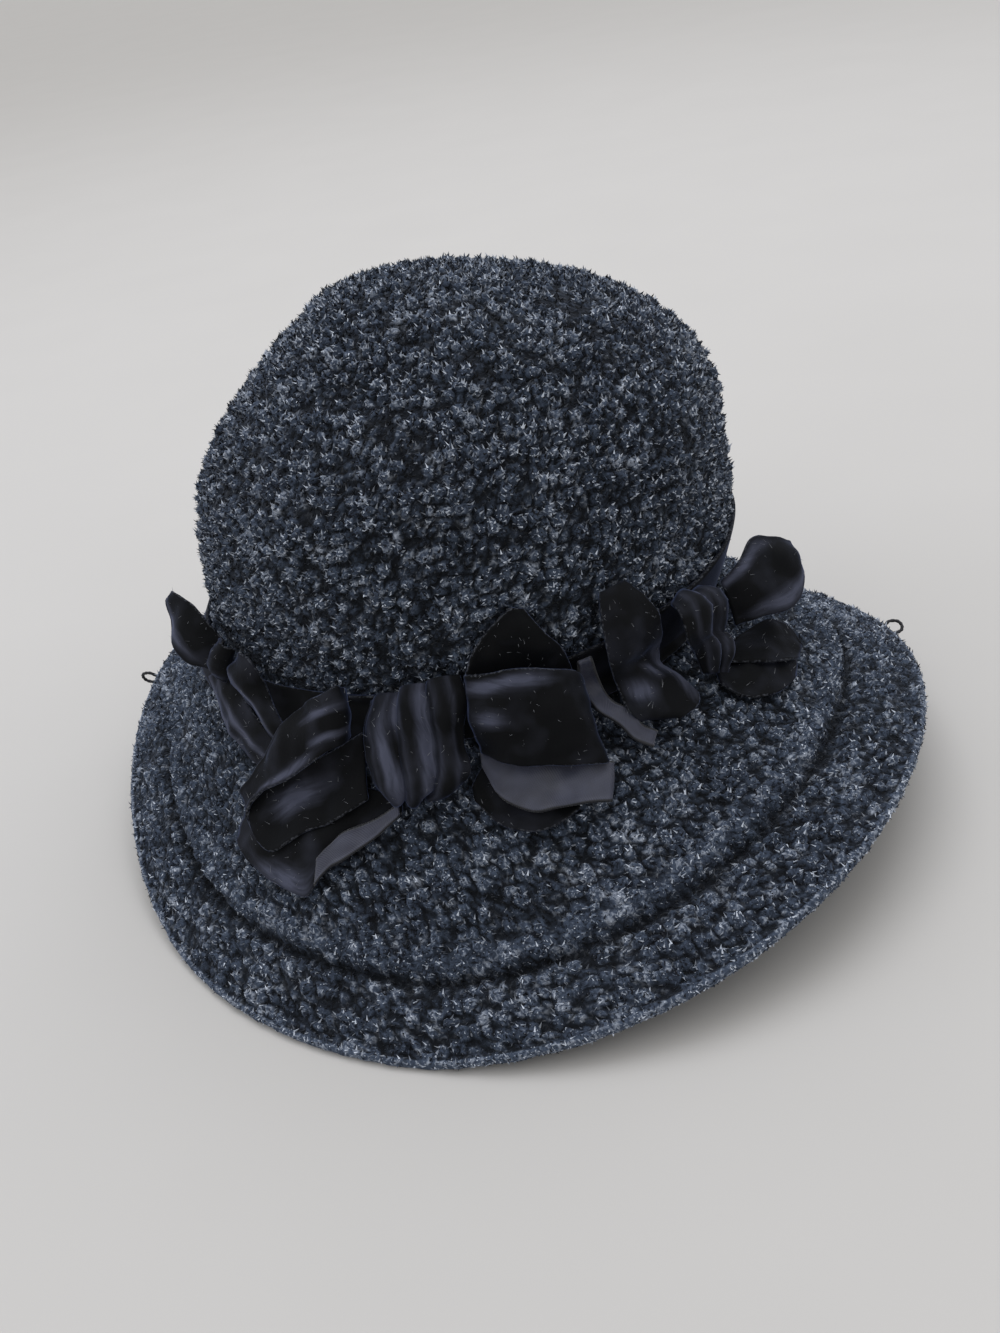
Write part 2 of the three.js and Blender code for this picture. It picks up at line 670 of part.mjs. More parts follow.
add('crown', crown(), 'yarn');
add('brim', brim(), 'yarn');
add('ribbon_band', ribbonBand(), 'velvet');
for (const [name, table] of Object.entries(RIBBONS)) add(name, ribbon(table), table.finish);
for (const loop of EDGE_LOOPS) add(loop.name, edgeLoop(loop), 'cord');

export default hat;
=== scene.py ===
"""A cloche hat of chenille yarn with black velvet ribbon tied in three bows round its crown.

The hat's faces are worked out in millimetres from short tables, and the meshes are made in
metres. A place on the hat is given by its turn, the angle in degrees round the hat from the
front (-Y) toward +X, and by a distance in mm down from the seam between crown and brim.
"""

import math

import bmesh
import bpy
import numpy as np
from mathutils import Matrix, Vector, noise


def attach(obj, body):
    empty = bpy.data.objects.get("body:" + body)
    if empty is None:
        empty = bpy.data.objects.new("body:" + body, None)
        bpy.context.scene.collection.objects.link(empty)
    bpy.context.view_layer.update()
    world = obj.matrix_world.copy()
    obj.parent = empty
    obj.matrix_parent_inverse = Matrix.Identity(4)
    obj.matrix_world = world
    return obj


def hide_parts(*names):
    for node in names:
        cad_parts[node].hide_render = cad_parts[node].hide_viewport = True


bl_info = {
    "name": "Cloche hat with velvet bows",
    "version": (1, 0, 0),
    "blender": (4, 5, 0),
    "location": "3D View > Sidebar > Cloche hat",
    "description": "Builds a chenille cloche hat with velvet ribbon bows",
    "category": "Add Mesh",
}

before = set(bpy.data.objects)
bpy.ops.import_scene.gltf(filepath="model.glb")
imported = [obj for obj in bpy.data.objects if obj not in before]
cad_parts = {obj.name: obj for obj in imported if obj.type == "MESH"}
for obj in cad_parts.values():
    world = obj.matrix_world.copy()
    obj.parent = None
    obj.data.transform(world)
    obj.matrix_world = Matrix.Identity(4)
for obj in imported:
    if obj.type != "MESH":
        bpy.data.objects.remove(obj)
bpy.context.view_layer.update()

MM = 0.001  # metres in a millimetre
TO_MIDDLE = np.array([-3.0, 0.0, 0.0])  # moves the finished hat, so that its box is centred

# ---- Driving sizes, mm ------------------------------------------------------------------

GAP = 0.3  # air between the crown and the brim at the seam

# The crown: its foot is the seam ring, set over the brim and tipped a little.
CROWN_FOOT = np.array([-11.0, -1.0, 79.5])
CROWN_TO_FRONT = 2  # degrees that the crown tips toward the front
CROWN_TO_RIGHT = 6  # degrees that it tips toward +X

# Height above the seam, and how far the outer face stands from the axis on each side.
CROWN_LEVELS = [
    {"rise": 0, "left": 91, "right": 92, "front": 92, "back": 92},
    {"rise": 26, "left": 93, "right": 98, "front": 96, "back": 96},
    {"rise": 50, "left": 88, "right": 97, "front": 92, "back": 92},
    {"rise": 73, "left": 72, "right": 93, "front": 85, "back": 85},
    {"rise": 91, "left": 55, "right": 78, "front": 68, "back": 69},
    {"rise": 103, "left": 41, "right": 52, "front": 46, "back": 47},
    {"rise": 109, "left": 20, "right": 24, "front": 20, "back": 22},
    {"rise": 111, "left": 0, "right": 0, "front": 0, "back": 0},
]
CROWN_TOP = len(CROWN_LEVELS) - 1
CROWN_MIDDLE = 50  # height above the seam of the point that the dents press toward

CROWN_DENTS = [
    {"turn": -28, "rise": 96, "wide": 24, "deep": 5},
    {"turn": 20, "rise": 84, "wide": 30, "deep": 4},
    {"turn": -62, "rise": 52, "wide": 26, "deep": 3},
    {"turn": 75, "rise": 70, "wide": 22, "deep": 3},
    {"turn": 170, "rise": 80, "wide": 30, "deep": 4},
]

# The brim: a ring that lifts off the floor at the right front and the left back.
EDGE_REACH = 163
EDGE_STRETCH = 12.5
EDGE_REST = 3.6
EDGE_LIFT = 12.5
EDGE_NOD = {"front": 1.5, "side": -1.5}
EDGE_WAVE = {"front": -7, "corner": 16.5}
BRIM_FLARE = 1.1
BRIM_EASE = 1.25
BRIM_SLOPE = 48  # degrees that the brim's face leans back from upright near the seam
LAST_SLOPE = 0.98  # share of the brim's length where its slope at the edge is taken

# The puffy band along the edge of the brim, and the groove and ridge behind it.
BAND_WIDE = 25
BAND_PUFF = 1.4
GROOVE = {"deep": 2.4, "wide": 2.6}
RIDGE = {"high": 1.2, "wide": 3, "behind": 6}
BAND_COURSES = 4  # rows of stitches on the edge band

FOLD_ROUNDING = 22  # the seam's inside corner is eased over this distance each way
# The band of ribbon round the crown's foot sits higher up the crown on its +X side.
RIBBON_BAND = {"top": -10, "top_tilt": -17, "foot": 10, "foot_tilt": -9, "off": 1.4}

# Each ribbon runs through rows from its edge a across to its edge b. An edge point is a turn,
# a distance down from the seam, and how far it stands off the knit. Swell rounds the ribbon
# outward between its edges. Shine lists painted highlights, grey places that stand for light
# caught on the velvet's folds: how far along and across (shares), and how long and wide (shares).
RIBBONS = {
    "left_bow_loop": {
        "shine": [
            {"along": 0.25, "across": 0.75, "long": 0.12, "wide": 0.12},
        ],
        "rows": [
            {"a": (-62, -3, 4), "b": (-64, 10, 8), "swell": 1},
            {"a": (-64, -9, 6), "b": (-67, 12, 13), "swell": 2},
            {"a": (-67, -14, 8), "b": (-70, 9, 17), "swell": 2},
            {"a": (-70, -17, 10), "b": (-73, 0, 18), "swell": 1},
            {"a": (-74, -17, 12), "b": (-76, -11, 15), "swell": 0},
            {"a": (-79, -6, 11), "b": (-80, 6, 15), "swell": 0},
            {"a": (-77, 2, 6), "b": (-78, 14, 9), "swell": 0},
            {"a": (-70, 4, 4), "b": (-71, 12, 5), "swell": 0},
        ],
    },
    "left_bow_knot": {
        "rows": [
            {"a": (-63, 9, 6), "b": (-59, -8, 6), "swell": 1},
            {"a": (-61, 9, 9), "b": (-55, -10, 9), "swell": 3},
            {"a": (-58, 9, 6), "b": (-54, -8, 6), "swell": 1},
        ],
    },
    "left_swag_upper": {
        "shine": [
            {"along": 0.5, "across": 0.3, "long": 0.5, "wide": 0.08},
        ],
        "rows": [
            {"a": (-55, 6, 8), "b": (-50, -11, 8), "swell": 1},
            {"a": (-52, 8, 9), "b": (-46, -10, 9), "swell": 3},
            {"a": (-49, 10, 9), "b": (-44, 1, 9), "swell": 3},
            {"a": (-44, 14, 9), "b": (-41, 9, 9), "swell": 2},
            {"a": (-40, 19, 8), "b": (-38, 16, 8), "swell": 1},
        ],
    },
    "left_swag_lower": {
        "shine": [
            {"along": 0.3, "across": 0.05, "long": 0.4, "wide": 0.1},
            {"along": 0.6, "across": 0.5, "long": 0.4, "wide": 0.08},
        ],
        "rows": [
            {"a": (-67, 14, 4), "b": (-62, 7, 4), "swell": 1},
            {"a": (-62, 19, 4), "b": (-54, 10, 5), "swell": 2},
            {"a": (-57, 24, 4), "b": (-48, 15, 5), "swell": 2},
            {"a": (-51, 27, 4), "b": (-44, 18, 5), "swell": 2},
            {"a": (-44, 29, 4), "b": (-40, 22, 5), "swell": 1},
        ],
    },
    "front_bow_left_loop": {
        "shine": [
            {"along": 0.12, "across": 0.3, "long": 0.06, "wide": 0.06},
            {"along": 0.1, "across": 0.75, "long": 0.06, "wide": 0.06},
            {"along": 0.3, "across": 0.9, "long": 0.12, "wide": 0.08},
            {"along": 0.75, "across": 0.45, "long": 0.08, "wide": 0.2},
        ],
        "rows": [
            {"a": (-25, -10, 8), "b": (-25, 12, 8), "swell": 1},
            {"a": (-25, -14, 12), "b": (-25, 15, 13), "swell": 2},
            {"a": (-27, -11, 14), "b": (-27, 18, 15), "swell": 2},
            {"a": (-33, 4, 14), "b": (-30, 23, 15), "swell": 2},
            {"a": (-39, 20, 13), "b": (-35, 30, 14), "swell": 1},
            {"a": (-43, 32, 12), "b": (-41, 37, 12), "swell": 0},
            {"a": (-46, 38, 9), "b": (-44, 45, 8), "swell": 0},
            {"a": (-44, 36, 7), "b": (-39, 52, 6), "swell": 1},
            {"a": (-38, 27, 6), "b": (-33, 43, 6), "swell": 1},
            {"a": (-30, 19, 6), "b": (-27, 37, 6), "swell": 1},
            {"a": (-23, 10, 6), "b": (-22, 30, 6), "swell": 0},
        ],
    },
    "front_bow_left_tail": {
        "shine": [
            {"along": 0.35, "across": 0.9, "long": 0.15, "wide": 0.12},
        ],
        "rows": [
            {"a": (-48, 45, 2), "b": (-48, 54, 2), "swell": 0},
            {"a": (-44, 40, 2), "b": (-44, 58, 2), "swell": 1},
            {"a": (-40, 36, 2), "b": (-37, 61, 3), "swell": 1},
            {"a": (-35, 32, 2), "b": (-32, 62, 3), "swell": 1},
            {"a": (-31, 29, 2), "b": (-30, 54, 3), "swell": 1},
            {"a": (-26, 27, 2), "b": (-26, 48, 2.5), "swell": 0.5},
            {"a": (-21, 27, 2), "b": (-22, 39, 2), "swell": 0},
            {"a": (-17, 29, 2), "b": (-17, 33, 2), "swell": 0},
        ],
    },
    "front_bow_turned_edge": {
        "satin": True,
        "rows": [
            {"a": (-30, 50, 6), "b": (-30, 58, 5), "swell": 0},
            {"a": (-28, 45, 6), "b": (-28, 52, 5.5), "swell": 0},
            {"a": (-26, 41, 6), "b": (-26, 49, 5), "swell": 0},
            {"a": (-21, 36, 5), "b": (-21, 41, 4.5), "swell": 0},
            {"a": (-17, 31, 5), "b": (-17, 34, 4.5), "swell": 0},
        ],
    },
    "front_bow_knot": {
        "pleats": {"count": 3, "deep": 3.5},
        "shine": [
            {"along": 0.15, "across": 0.34, "long": 0.2, "wide": 0.05},
            {"along": 0.55, "across": 0.2, "long": 0.3, "wide": 0.055},
            {"along": 0.9, "across": 0.3, "long": 0.2, "wide": 0.07},
            {"along": 0.5, "across": 0.63, "long": 0.7, "wide": 0.06},
        ],
        "rows": [
            {"a": (-21, -2, 4), "b": (-4, -16, 4), "swell": 1},
            {"a": (-22, 8, 9), "b": (-3, -8, 9), "swell": 2},
            {"a": (-21, 18, 11), "b": (-4, 12, 11), "swell": 2},
            {"a": (-20, 26, 9), "b": (-5, 24, 9), "swell": 2},
            {"a": (-19, 29, 4), "b": (-10, 27, 4), "swell": 1},
        ],
    },
    "front_bow_peak": {
        "rows": [
            {"a": (-3, -2, 6), "b": (17, 4, 6), "swell": 2},
            {"a": (-3, -12, 5), "b": (18, -3, 5), "swell": 2},
            {"a": (-1, -25, 4), "b": (15, -20, 4), "swell": 2},
            {"a": (3, -34, 4), "b": (11, -29, 4), "swell": 1},
            {"a": (6, -38, 4), "b": (8, -37, 4), "swell": 0},
        ],
    },
    "front_bow_right_loop": {
        "shine": [
            {"along": 0.1, "across": 0.14, "long": 0.12, "wide": 0.07},
            {"along": 0.28, "across": 0.1, "long": 0.12, "wide": 0.05},
            {"along": 0.12, "across": 0.5, "long": 0.06, "wide": 0.08},
        ],
        "rows": [
            {"a": (-3, -18, 8), "b": (-2, 17, 8), "swell": 1},
            {"a": (1, -20, 11), "b": (0, 20, 11), "swell": 2},
            {"a": (5, -22, 13), "b": (4, 24, 13), "swell": 2},
            {"a": (10, -20, 13), "b": (8, 26, 13), "swell": 2},
            {"a": (16, -14, 12), "b": (14, 29, 12), "swell": 1},
            {"a": (18, 2, 10), "b": (16, 29, 9), "swell": 0},
            {"a": (17, 0, 8.5), "b": (15, 24, 6.5), "swell": 0},
            {"a": (11, -3, 8), "b": (11, 20, 6), "swell": 0},
        ],
    },
    "front_bow_right_tail": {
        "satin": True,
        "rows": [
            {"a": (-2, 14, 5), "b": (-2, 19, 5), "swell": 0},
            {"a": (0, 17, 6.5), "b": (-1, 30, 6), "swell": 0.5},
            {"a": (4, 19, 8), "b": (3, 37, 7), "swell": 0.5},
            {"a": (9, 22, 8.5), "b": (7, 38, 8), "swell": 0.5},
            {"a": (14, 27, 8.5), "b": (11, 39, 8), "swell": 0.5},
            {"a": (17, 30, 8), "b": (14, 41, 7.5), "swell": 0},
        ],
    },
    "front_bow_under_tail": {
        "rows": [
            {"a": (-5, 26, 2), "b": (-5, 30, 2), "swell": 0},
            {"a": (-2, 20, 2), "b": (-2, 38, 2.5), "swell": 0},
            {"a": (4, 20, 2), "b": (2, 42, 3), "swell": 0},
            {"a": (8, 24, 2), "b": (6, 42, 3), "swell": 0},
            {"a": (10, 32, 2), "b": (10, 39, 2.5), "swell": 0},
        ],
    },
    "front_bow_satin_fold": {
        "satin": True,
        "rows": [
            {"a": (17, -16, 8), "b": (19, -18, 9), "swell": 0},
            {"a": (19, -1, 9), "b": (22, -2, 10), "swell": 0},
            {"a": (19, 11, 10), "b": (22, 10, 11), "swell": 0},
            {"a": (21, 20, 10), "b": (24, 17, 11), "swell": 0},
            {"a": (22, 26, 9), "b": (24, 22, 10), "swell": 0},
            {"a": (24, 30, 8), "b": (26, 26, 8), "swell": 0},
        ],
    },
    "right_bow_inner_loop": {
        "shine": [
            {"along": 0.5, "across": 0.6, "long": 0.05, "wide": 0.1},
            {"along": 0.62, "across": 0.25, "long": 0.05, "wide": 0.15},
            {"along": 0.5, "across": 0.95, "long": 0.15, "wide": 0.12},
        ],
        "rows": [
            {"a": (22, -37, 4), "b": (27, -38, 4), "swell": 1},
            {"a": (21, -32, 8), "b": (30, -32, 8), "swell": 2},
            {"a": (21, -24, 11), "b": (32, -24, 11), "swell": 2},
            {"a": (22, -14, 12.5), "b": (35, 0, 12), "swell": 2},
            {"a": (24, 6, 13.5), "b": (36, 17, 12), "swell": 2},
            {"a": (23, 16, 13), "b": (34, 25, 12), "swell": 1},
            {"a": (24, 21, 11), "b": (30, 26, 11), "swell": 0},
            {"a": (26, 18, 8), "b": (33, 22, 8), "swell": 0},
            {"a": (28, 9, 7), "b": (37, 16, 7), "swell": 0},
        ],
    },
    "right_bow_knot": {
        "pleats": {"count": 2, "deep": 3.5},
        "shine": [
            {"along": 0.3, "across": 0.45, "long": 0.4, "wide": 0.08},
            {"along": 0.6, "across": 0.85, "long": 0.35, "wide": 0.08},
        ],
        "rows": [
            {"a": (36, -26, 8), "b": (49, -18, 6), "swell": 1},
            {"a": (35, -25, 14), "b": (50, -16, 11), "swell": 2},
            {"a": (36, -15, 17), "b": (50, 4, 14), "swell": 2},
            {"a": (40, 7, 17), "b": (47, 15, 14), "swell": 2},
            {"a": (40, 17, 11), "b": (44, 21, 9), "swell": 0},
        ],
    },
    "right_bow_upper_loop": {
        "shine": [
            {"along": 0.3, "across": 0.85, "long": 0.2, "wide": 0.1},
            {"along": 0.15, "across": 0.1, "long": 0.15, "wide": 0.07},
        ],
        "rows": [
            {"a": (52, -21, 8), "b": (51, 9, 18), "swell": 1},
            {"a": (55, -26, 11), "b": (54, 16, 22), "swell": 2},
            {"a": (59, -31, 12), "b": (58, 22, 25), "swell": 2},
            {"a": (63, -29, 17), "b": (62, 22, 29), "swell": 2},
            {"a": (67, -23, 22), "b": (66, -10, 31), "swell": 1},
            {"a": (71, -17, 19), "b": (70, 22, 20), "swell": 0},
            {"a": (70, -17, 12), "b": (69, 22, 13), "swell": 0},
            {"a": (65, -11, 9), "b": (63, 17, 9), "swell": 0},
        ],
    },
    "right_bow_lower_loop": {
        "rows": [
            {"a": (55, 16, 5), "b": (48, 18, 5), "swell": 0},
            {"a": (60, 18, 7), "b": (50, 23, 7), "swell": 1},
            {"a": (64, 24, 9), "b": (52, 29, 9), "swell": 2},
            {"a": (64, 31, 9), "b": (55, 34, 9), "swell": 1},
            {"a": (62, 36, 8), "b": (58, 37, 8), "swell": 0},
        ],
    },
    "right_bow_lower_tail": {
        "rows": [
            {"a": (46, 19, 3), "b": (44, 23, 3), "swell": 0},
            {"a": (52, 19, 4), "b": (44, 29, 4), "swell": 1},
            {"a": (55, 24, 4.5), "b": (46, 35, 4.5), "swell": 2},
            {"a": (58, 31, 4.5), "b": (50, 39, 4.5), "swell": 2},
            {"a": (59, 37, 4), "b": (55, 40, 4), "swell": 1},
        ],
    },
}

# Two small cord loops sewn to the edge of the brim.
LOOP_OUTLINE = [
    {"out": 0, "side": 1},
    {"out": 2.6, "side": 3},
    {"out": 5.8, "side": 2.3},
    {"out": 6.8, "side": 0},
    {"out": 5.8, "side": -2.3},
    {"out": 2.6, "side": -3},
    {"out": 0, "side": -1},
]
EDGE_LOOPS = [
    {"name": "edge_loop_left", "turn": -109, "twist": 70},
    {"name": "edge_loop_right", "turn": 93, "twist": 25},
]


# ---- Sizes and colours that a user would change -----------------------------------------


def length_property(name, description, default):
    """A size in metres with a name and a description."""
    return bpy.props.FloatProperty(
        name=name, description=description, default=default, unit="LENGTH", precision=4
    )


def colour_property(name, description, default):
    """An sRGB colour kept as a hex value."""
    return bpy.props.StringProperty(name=name, description=description, default=default)


class ChenilleSettings(bpy.types.PropertyGroup):
    """Sizes and colours of the chenille knit."""

    wall: length_property("Wall", "Thickness of the knitted wall", 0.005)
    stitch: length_property("Stitch", "Width of one stitch", 0.0043)
    course: length_property("Course", "Height of one row of stitches", 0.0054)
    nub: length_property("Nub", "Height of a stitch above the hollows round it", 0.0027)
    fibre: length_property("Fibre", "Mean length of a fibre of the pile", 0.0013)
    fibre_width: length_property("Fibre width", "Mean width of a fibre of the pile", 0.00038)
    fibres: bpy.props.FloatProperty(
        name="Fibres", description="Fibres in a square metre of the pile", default=1030000
    )
    dark: colour_property("Dark", "Dark strand of the heather yarn", "#080b12")
    middle: colour_property("Middle", "Grey strand of the heather yarn", "#454f5f")
    light: colour_property("Light", "Pale flecks of the heather yarn", "#d6dde8")


class RibbonSettings(bpy.types.PropertyGroup):
    """Sizes and colours of the velvet ribbon."""

    thick: length_property("Thickness", "Thickness of the ribbon", 0.0012)
    selvedge: length_property("Selvedge", "Width of the ribbon's woven edge", 0.0005)
    wrinkle: length_property("Wrinkle", "Height of the soft wrinkles", 0.0015)
    velvet: colour_property("Velvet", "Black silk velvet", "#040507")
    # Painted sheen: the grey of the velvet's painted highlights on its folds and pleats.
    painted_sheen: colour_property("Crushed", "Velvet where its pile lies flat", "#4a4d5c")
    satin: colour_property("Satin", "Satin back of the ribbon", "#3a3d4e")
    edge: colour_property("Edge", "Woven edge of the ribbon", "#55585f")
    lint: colour_property("Lint", "Specks of lint on the velvet", "#7e8186")
    cord: colour_property("Cord", "Cord of the edge loops", "#0b0b0d")


class StudioSettings(bpy.types.PropertyGroup):
    """The floor, the lights and the camera."""

    floor: colour_property("Floor", "Pale matt floor", "#c8c5c0")
    sky: bpy.props.FloatProperty(
        name="Sky", description="Strength of the soft light straight overhead", default=1.2
    )
    horizon: bpy.props.FloatProperty(
        name="Horizon", description="Strength of the soft light from the sides", default=0.42
    )
    key: bpy.props.FloatProperty(
        name="Key",
        description="Power of the large light above and behind",
        default=15,
        unit="POWER",
    )
    side: bpy.props.FloatProperty(
        name="Side", description="Power of the light at the left", default=2, unit="POWER"
    )
    elevation: bpy.props.FloatProperty(
        name="Elevation",
        description="Height of the camera above the horizon",
        default=math.radians(30),
        subtype="ANGLE",
    )
    roll: bpy.props.FloatProperty(
        name="Roll", description="Turn of the camera", default=math.radians(-10), subtype="ANGLE"
    )
    distance: length_property("Distance", "From the camera to the hat's middle", 0.547)
    lens: bpy.props.FloatProperty(
        name="Lens", description="Focal length for a 36 mm tall sensor, in mm", default=37.81
    )


# ---- Small tools ------------------------------------------------------------------------


def linear(hex_colour):
    """Linear RGBA of an sRGB hex value."""
    parts = [int(hex_colour[i : i + 2], 16) / 255 for i in (1, 3, 5)]
    return [p / 12.92 if p <= 0.04045 else ((p + 0.055) / 1.055) ** 2.4 for p in parts] + [1.0]


def along_rows(values, place):
    """Value of a smooth curve through a list of numbers, at places counted in rows."""
    values = np.asarray(values, float)
    place = np.asarray(place, float)
    last = len(values) - 1
    i = np.clip(np.floor(place).astype(int), 0, last - 1)
    f = place - i
    before, here = values[np.maximum(i - 1, 0)], values[i]
    ahead, after = values[i + 1], values[np.minimum(i + 2, last)]
    slope_here, slope_ahead = (ahead - before) / 2, (after - here) / 2
    bend = 2 * (here - ahead) + slope_here + slope_ahead
    pull = 3 * (ahead - here) - 2 * slope_here - slope_ahead
    return ((bend * f + pull) * f + slope_here) * f + here


def bump(distance, wide):
    """Bump of height 1 at 0 that dies away over about one width."""
    return np.exp(-((distance / wide) ** 2))


def smoothstep(value, low, high):
    """0 below low, 1 above high, and a smooth rise between them."""
    share = np.clip((value - low) / (high - low), 0, 1)
    return share * share * (3 - 2 * share)


def unit(vectors):
    """Vectors scaled to length 1."""
    return vectors / np.maximum(np.linalg.norm(vectors, axis=-1, keepdims=True), 1e-9)


def stacked(x, y, z):
    """Points from their three coordinates."""
    return np.stack(np.broadcast_arrays(x, y, z), axis=-1)


def soft_noise(points, size, seed):
    """Smooth noise from -1 to 1 with lumps of a size in mm, at points in mm."""
    flat = points.reshape(-1, 3) / size + seed * 17.3
    values = [noise.noise(Vector(point)) for point in flat]
    return np.array(values).reshape(points.shape[:-1])


def normal_of(face, turn, place):
    """Normal of a face given as a function of turn and place, on the side of turn x place."""
    step = 0.01
    round_ = face(turn + step, place) - face(turn - step, place)
    up = face(turn, place + step) - face(turn, place - step)
    return unit(np.cross(round_, up))


# ---- The hat's faces --------------------------------------------------------------------


def crown_tip():
    """Matrix that tips the crown, with its columns as the crown's axes."""
    front = Matrix.Rotation(math.radians(CROWN_TO_FRONT), 3, "X")
    right = Matrix.Rotation(math.radians(CROWN_TO_RIGHT), 3, "Y")
    return np.array(front @ right)


CROWN_TIP = crown_tip()
CROWN_AXIS = CROWN_TIP[:, 2]
REACH = {key: [level[key] for level in CROWN_LEVELS] for key in CROWN_LEVELS[0]}


def smooth_crown(turn, place):
    """Outer face of the crown without its dents, at a place counted in rows of its table."""
    angle = np.radians(turn)
    side, front = np.sin(angle), np.cos(angle)
    right, left = along_rows(REACH["right"], place), along_rows(REACH["left"], place)
    ahead, behind = along_rows(REACH["front"], place), along_rows(REACH["back"], place)
    x = side * np.where(side > 0, right, left)
    y = -front * np.where(front > 0, ahead, behind)
    return stacked(x, y, along_rows(REACH["rise"], place)) @ CROWN_TIP.T + CROWN_FOOT


def crown_place(rise):
    """Place in the crown's table at a height above the seam."""
    places = np.linspace(0, CROWN_TOP, 1400)
    return np.interp(rise, along_rows(REACH["rise"], places), places)


def crown_face(turn, place):
    """Outer face of the crown with its dents, which press it toward the crown's middle."""
    points = smooth_crown(turn, place)
    middle = CROWN_FOOT + CROWN_AXIS * CROWN_MIDDLE
    for dent in CROWN_DENTS:
        centre = smooth_crown(dent["turn"], crown_place(dent["rise"]))
        depth = dent["deep"] * bump(np.linalg.norm(points - centre, axis=-1), dent["wide"])
        points = points + unit(middle - points) * depth[..., None]
    return points


def away_from(turn, lean):
    """Direction out from the hat at a turn, leaning up by an angle in degrees."""
    angle, lean = np.radians(turn), np.radians(lean)
    return stacked(np.cos(lean) * np.sin(angle), -np.cos(lean) * np.cos(angle), np.sin(lean))


def brim_edge(turn):
    """Upper face at the very edge of the brim."""
    angle = np.radians(turn)
    reach = EDGE_REACH + EDGE_STRETCH * np.cos(2 * angle)
    nod = EDGE_NOD["front"] * np.cos(angle) + EDGE_NOD["side"] * np.sin(angle)
    wave = EDGE_WAVE["front"] * np.cos(2 * angle) + EDGE_WAVE["corner"] * np.sin(2 * angle)
    lift = np.maximum(EDGE_LIFT + nod + wave, 0)
    return stacked(reach * np.sin(angle), -reach * np.cos(angle), EDGE_REST + lift)


def brim_length(turn):
    """Straight distance from the seam to the brim's edge."""
    return np.linalg.norm(smooth_crown(turn, 0) - brim_edge(turn), axis=-1)


def smooth_brim(turn, share):
    """Upper face of the brim without its edge band, at a share of the way to the edge."""
    seam, edge = smooth_crown(turn, 0), brim_edge(turn)
    out = np.maximum(share, 0) ** BRIM_FLARE
    fall = 1 - (1 - np.minimum(share, 1)) ** BRIM_EASE
    go = edge - seam
    x = seam[..., 0] + go[..., 0] * out
    y = seam[..., 1] + go[..., 1] * out
    return stacked(x, y, seam[..., 2] + go[..., 2] * fall)


def brim_normal(turn, share):
    """Direction out of the brim's upper face."""
    open_face = -normal_of(smooth_brim, turn, np.clip(share, 0.011, LAST_SLOPE))
    seam = away_from(turn, BRIM_SLOPE / 2)
    near = smoothstep(share, 0, 0.05)[..., None]
    return unit(seam * (1 - near) + open_face * near)


def band_relief(from_edge):
    """Height of the edge band, its groove and its ridge above the smooth brim."""
    groove = GROOVE["deep"] * bump(from_edge - BAND_WIDE, GROOVE["wide"])
    ridge = RIDGE["high"] * bump(from_edge - BAND_WIDE - RIDGE["behind"], RIDGE["wide"])
    puff = BAND_PUFF * np.sin(np.pi * np.clip(from_edge / BAND_WIDE, 0, 1))
    return puff + ridge - groove


def on_hat(turn, down, off):
    """Point that stands off the hat's outer face: down is below 0 on the crown."""
    on_crown = smooth_crown(turn, crown_place(np.maximum(-down, 0)))
    on_brim = smooth_brim(turn, np.clip(down / brim_length(turn), 0, 1))
    face = np.where((down < 0)[..., None], on_crown, on_brim)
    lean = BRIM_SLOPE * smoothstep(down, -FOLD_ROUNDING, FOLD_ROUNDING)
    return face + away_from(turn, lean) * off[..., None]


# ---- Meshes -----------------------------------------------------------------------------


def new_piece(name, points, faces, materials, face_material=None, attributes=None):
    """Object with a mesh from points in mm, its materials and its point attributes."""
    mesh = bpy.data.meshes.new(name)
    mesh.from_pydata(((points + TO_MIDDLE) * MM).tolist(), [], faces)
    mesh.validate()
    for material in materials:
        mesh.materials.append(material)
    if face_material is not None:
        mesh.polygons.foreach_set("material_index", face_material)
    for key, values in (attributes or {}).items():
        store = mesh.attributes.new(key, "FLOAT", "POINT")
        store.data.foreach_set("value", np.asarray(values, np.float32))
    mesh.shade_smooth()
    mesh.update()
    piece = bpy.data.objects.new(name, mesh)
    bpy.context.scene.collection.objects.link(piece)
    return piece


def ring_faces(rings, around, endless):
    """Quads between rings of points, which each close on themselves."""
    spans = rings if endless else rings - 1
    i, j = np.meshgrid(np.arange(spans), np.arange(around), indexing="ij")
    ahead, right = (i + 1) % rings, (j + 1) % around
    quads = [i * around + j, i * around + right, ahead * around + right, ahead * around + j]
    return np.stack(quads, axis=-1).reshape(-1, 4).tolist()


def finish_piece(piece, slot, *nodes):
    """Hands a finished piece to the frame."""
    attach(piece, "root")
    if nodes:
        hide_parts(*nodes)
    return piece


def stitch_relief(points, courses, size):
    """Height and shade, each from 0 to 1, of nubby stitches of a size in mm, in courses."""
    heights, tones = [], []
    for point in points.reshape(-1, 3) / size:
        distances, centres = noise.voronoi(Vector(point))
        heights.append(distances[1] - distances[0])
        tones.append(noise.cell(centres[0] * NUB_MIX))
    across = smoothstep(np.array(heights).reshape(points.shape[:-1]), 0, 0.55)
    up = np.abs(np.sin(np.pi * courses)) ** 0.6
    return across * (0.55 + 0.45 * up), np.array(tones).reshape(across.shape)


NUB_MIX = 7.3  # spreads the centres of the nubs so that each gets its own shade


# ---- Materials --------------------------------------------------------------------------


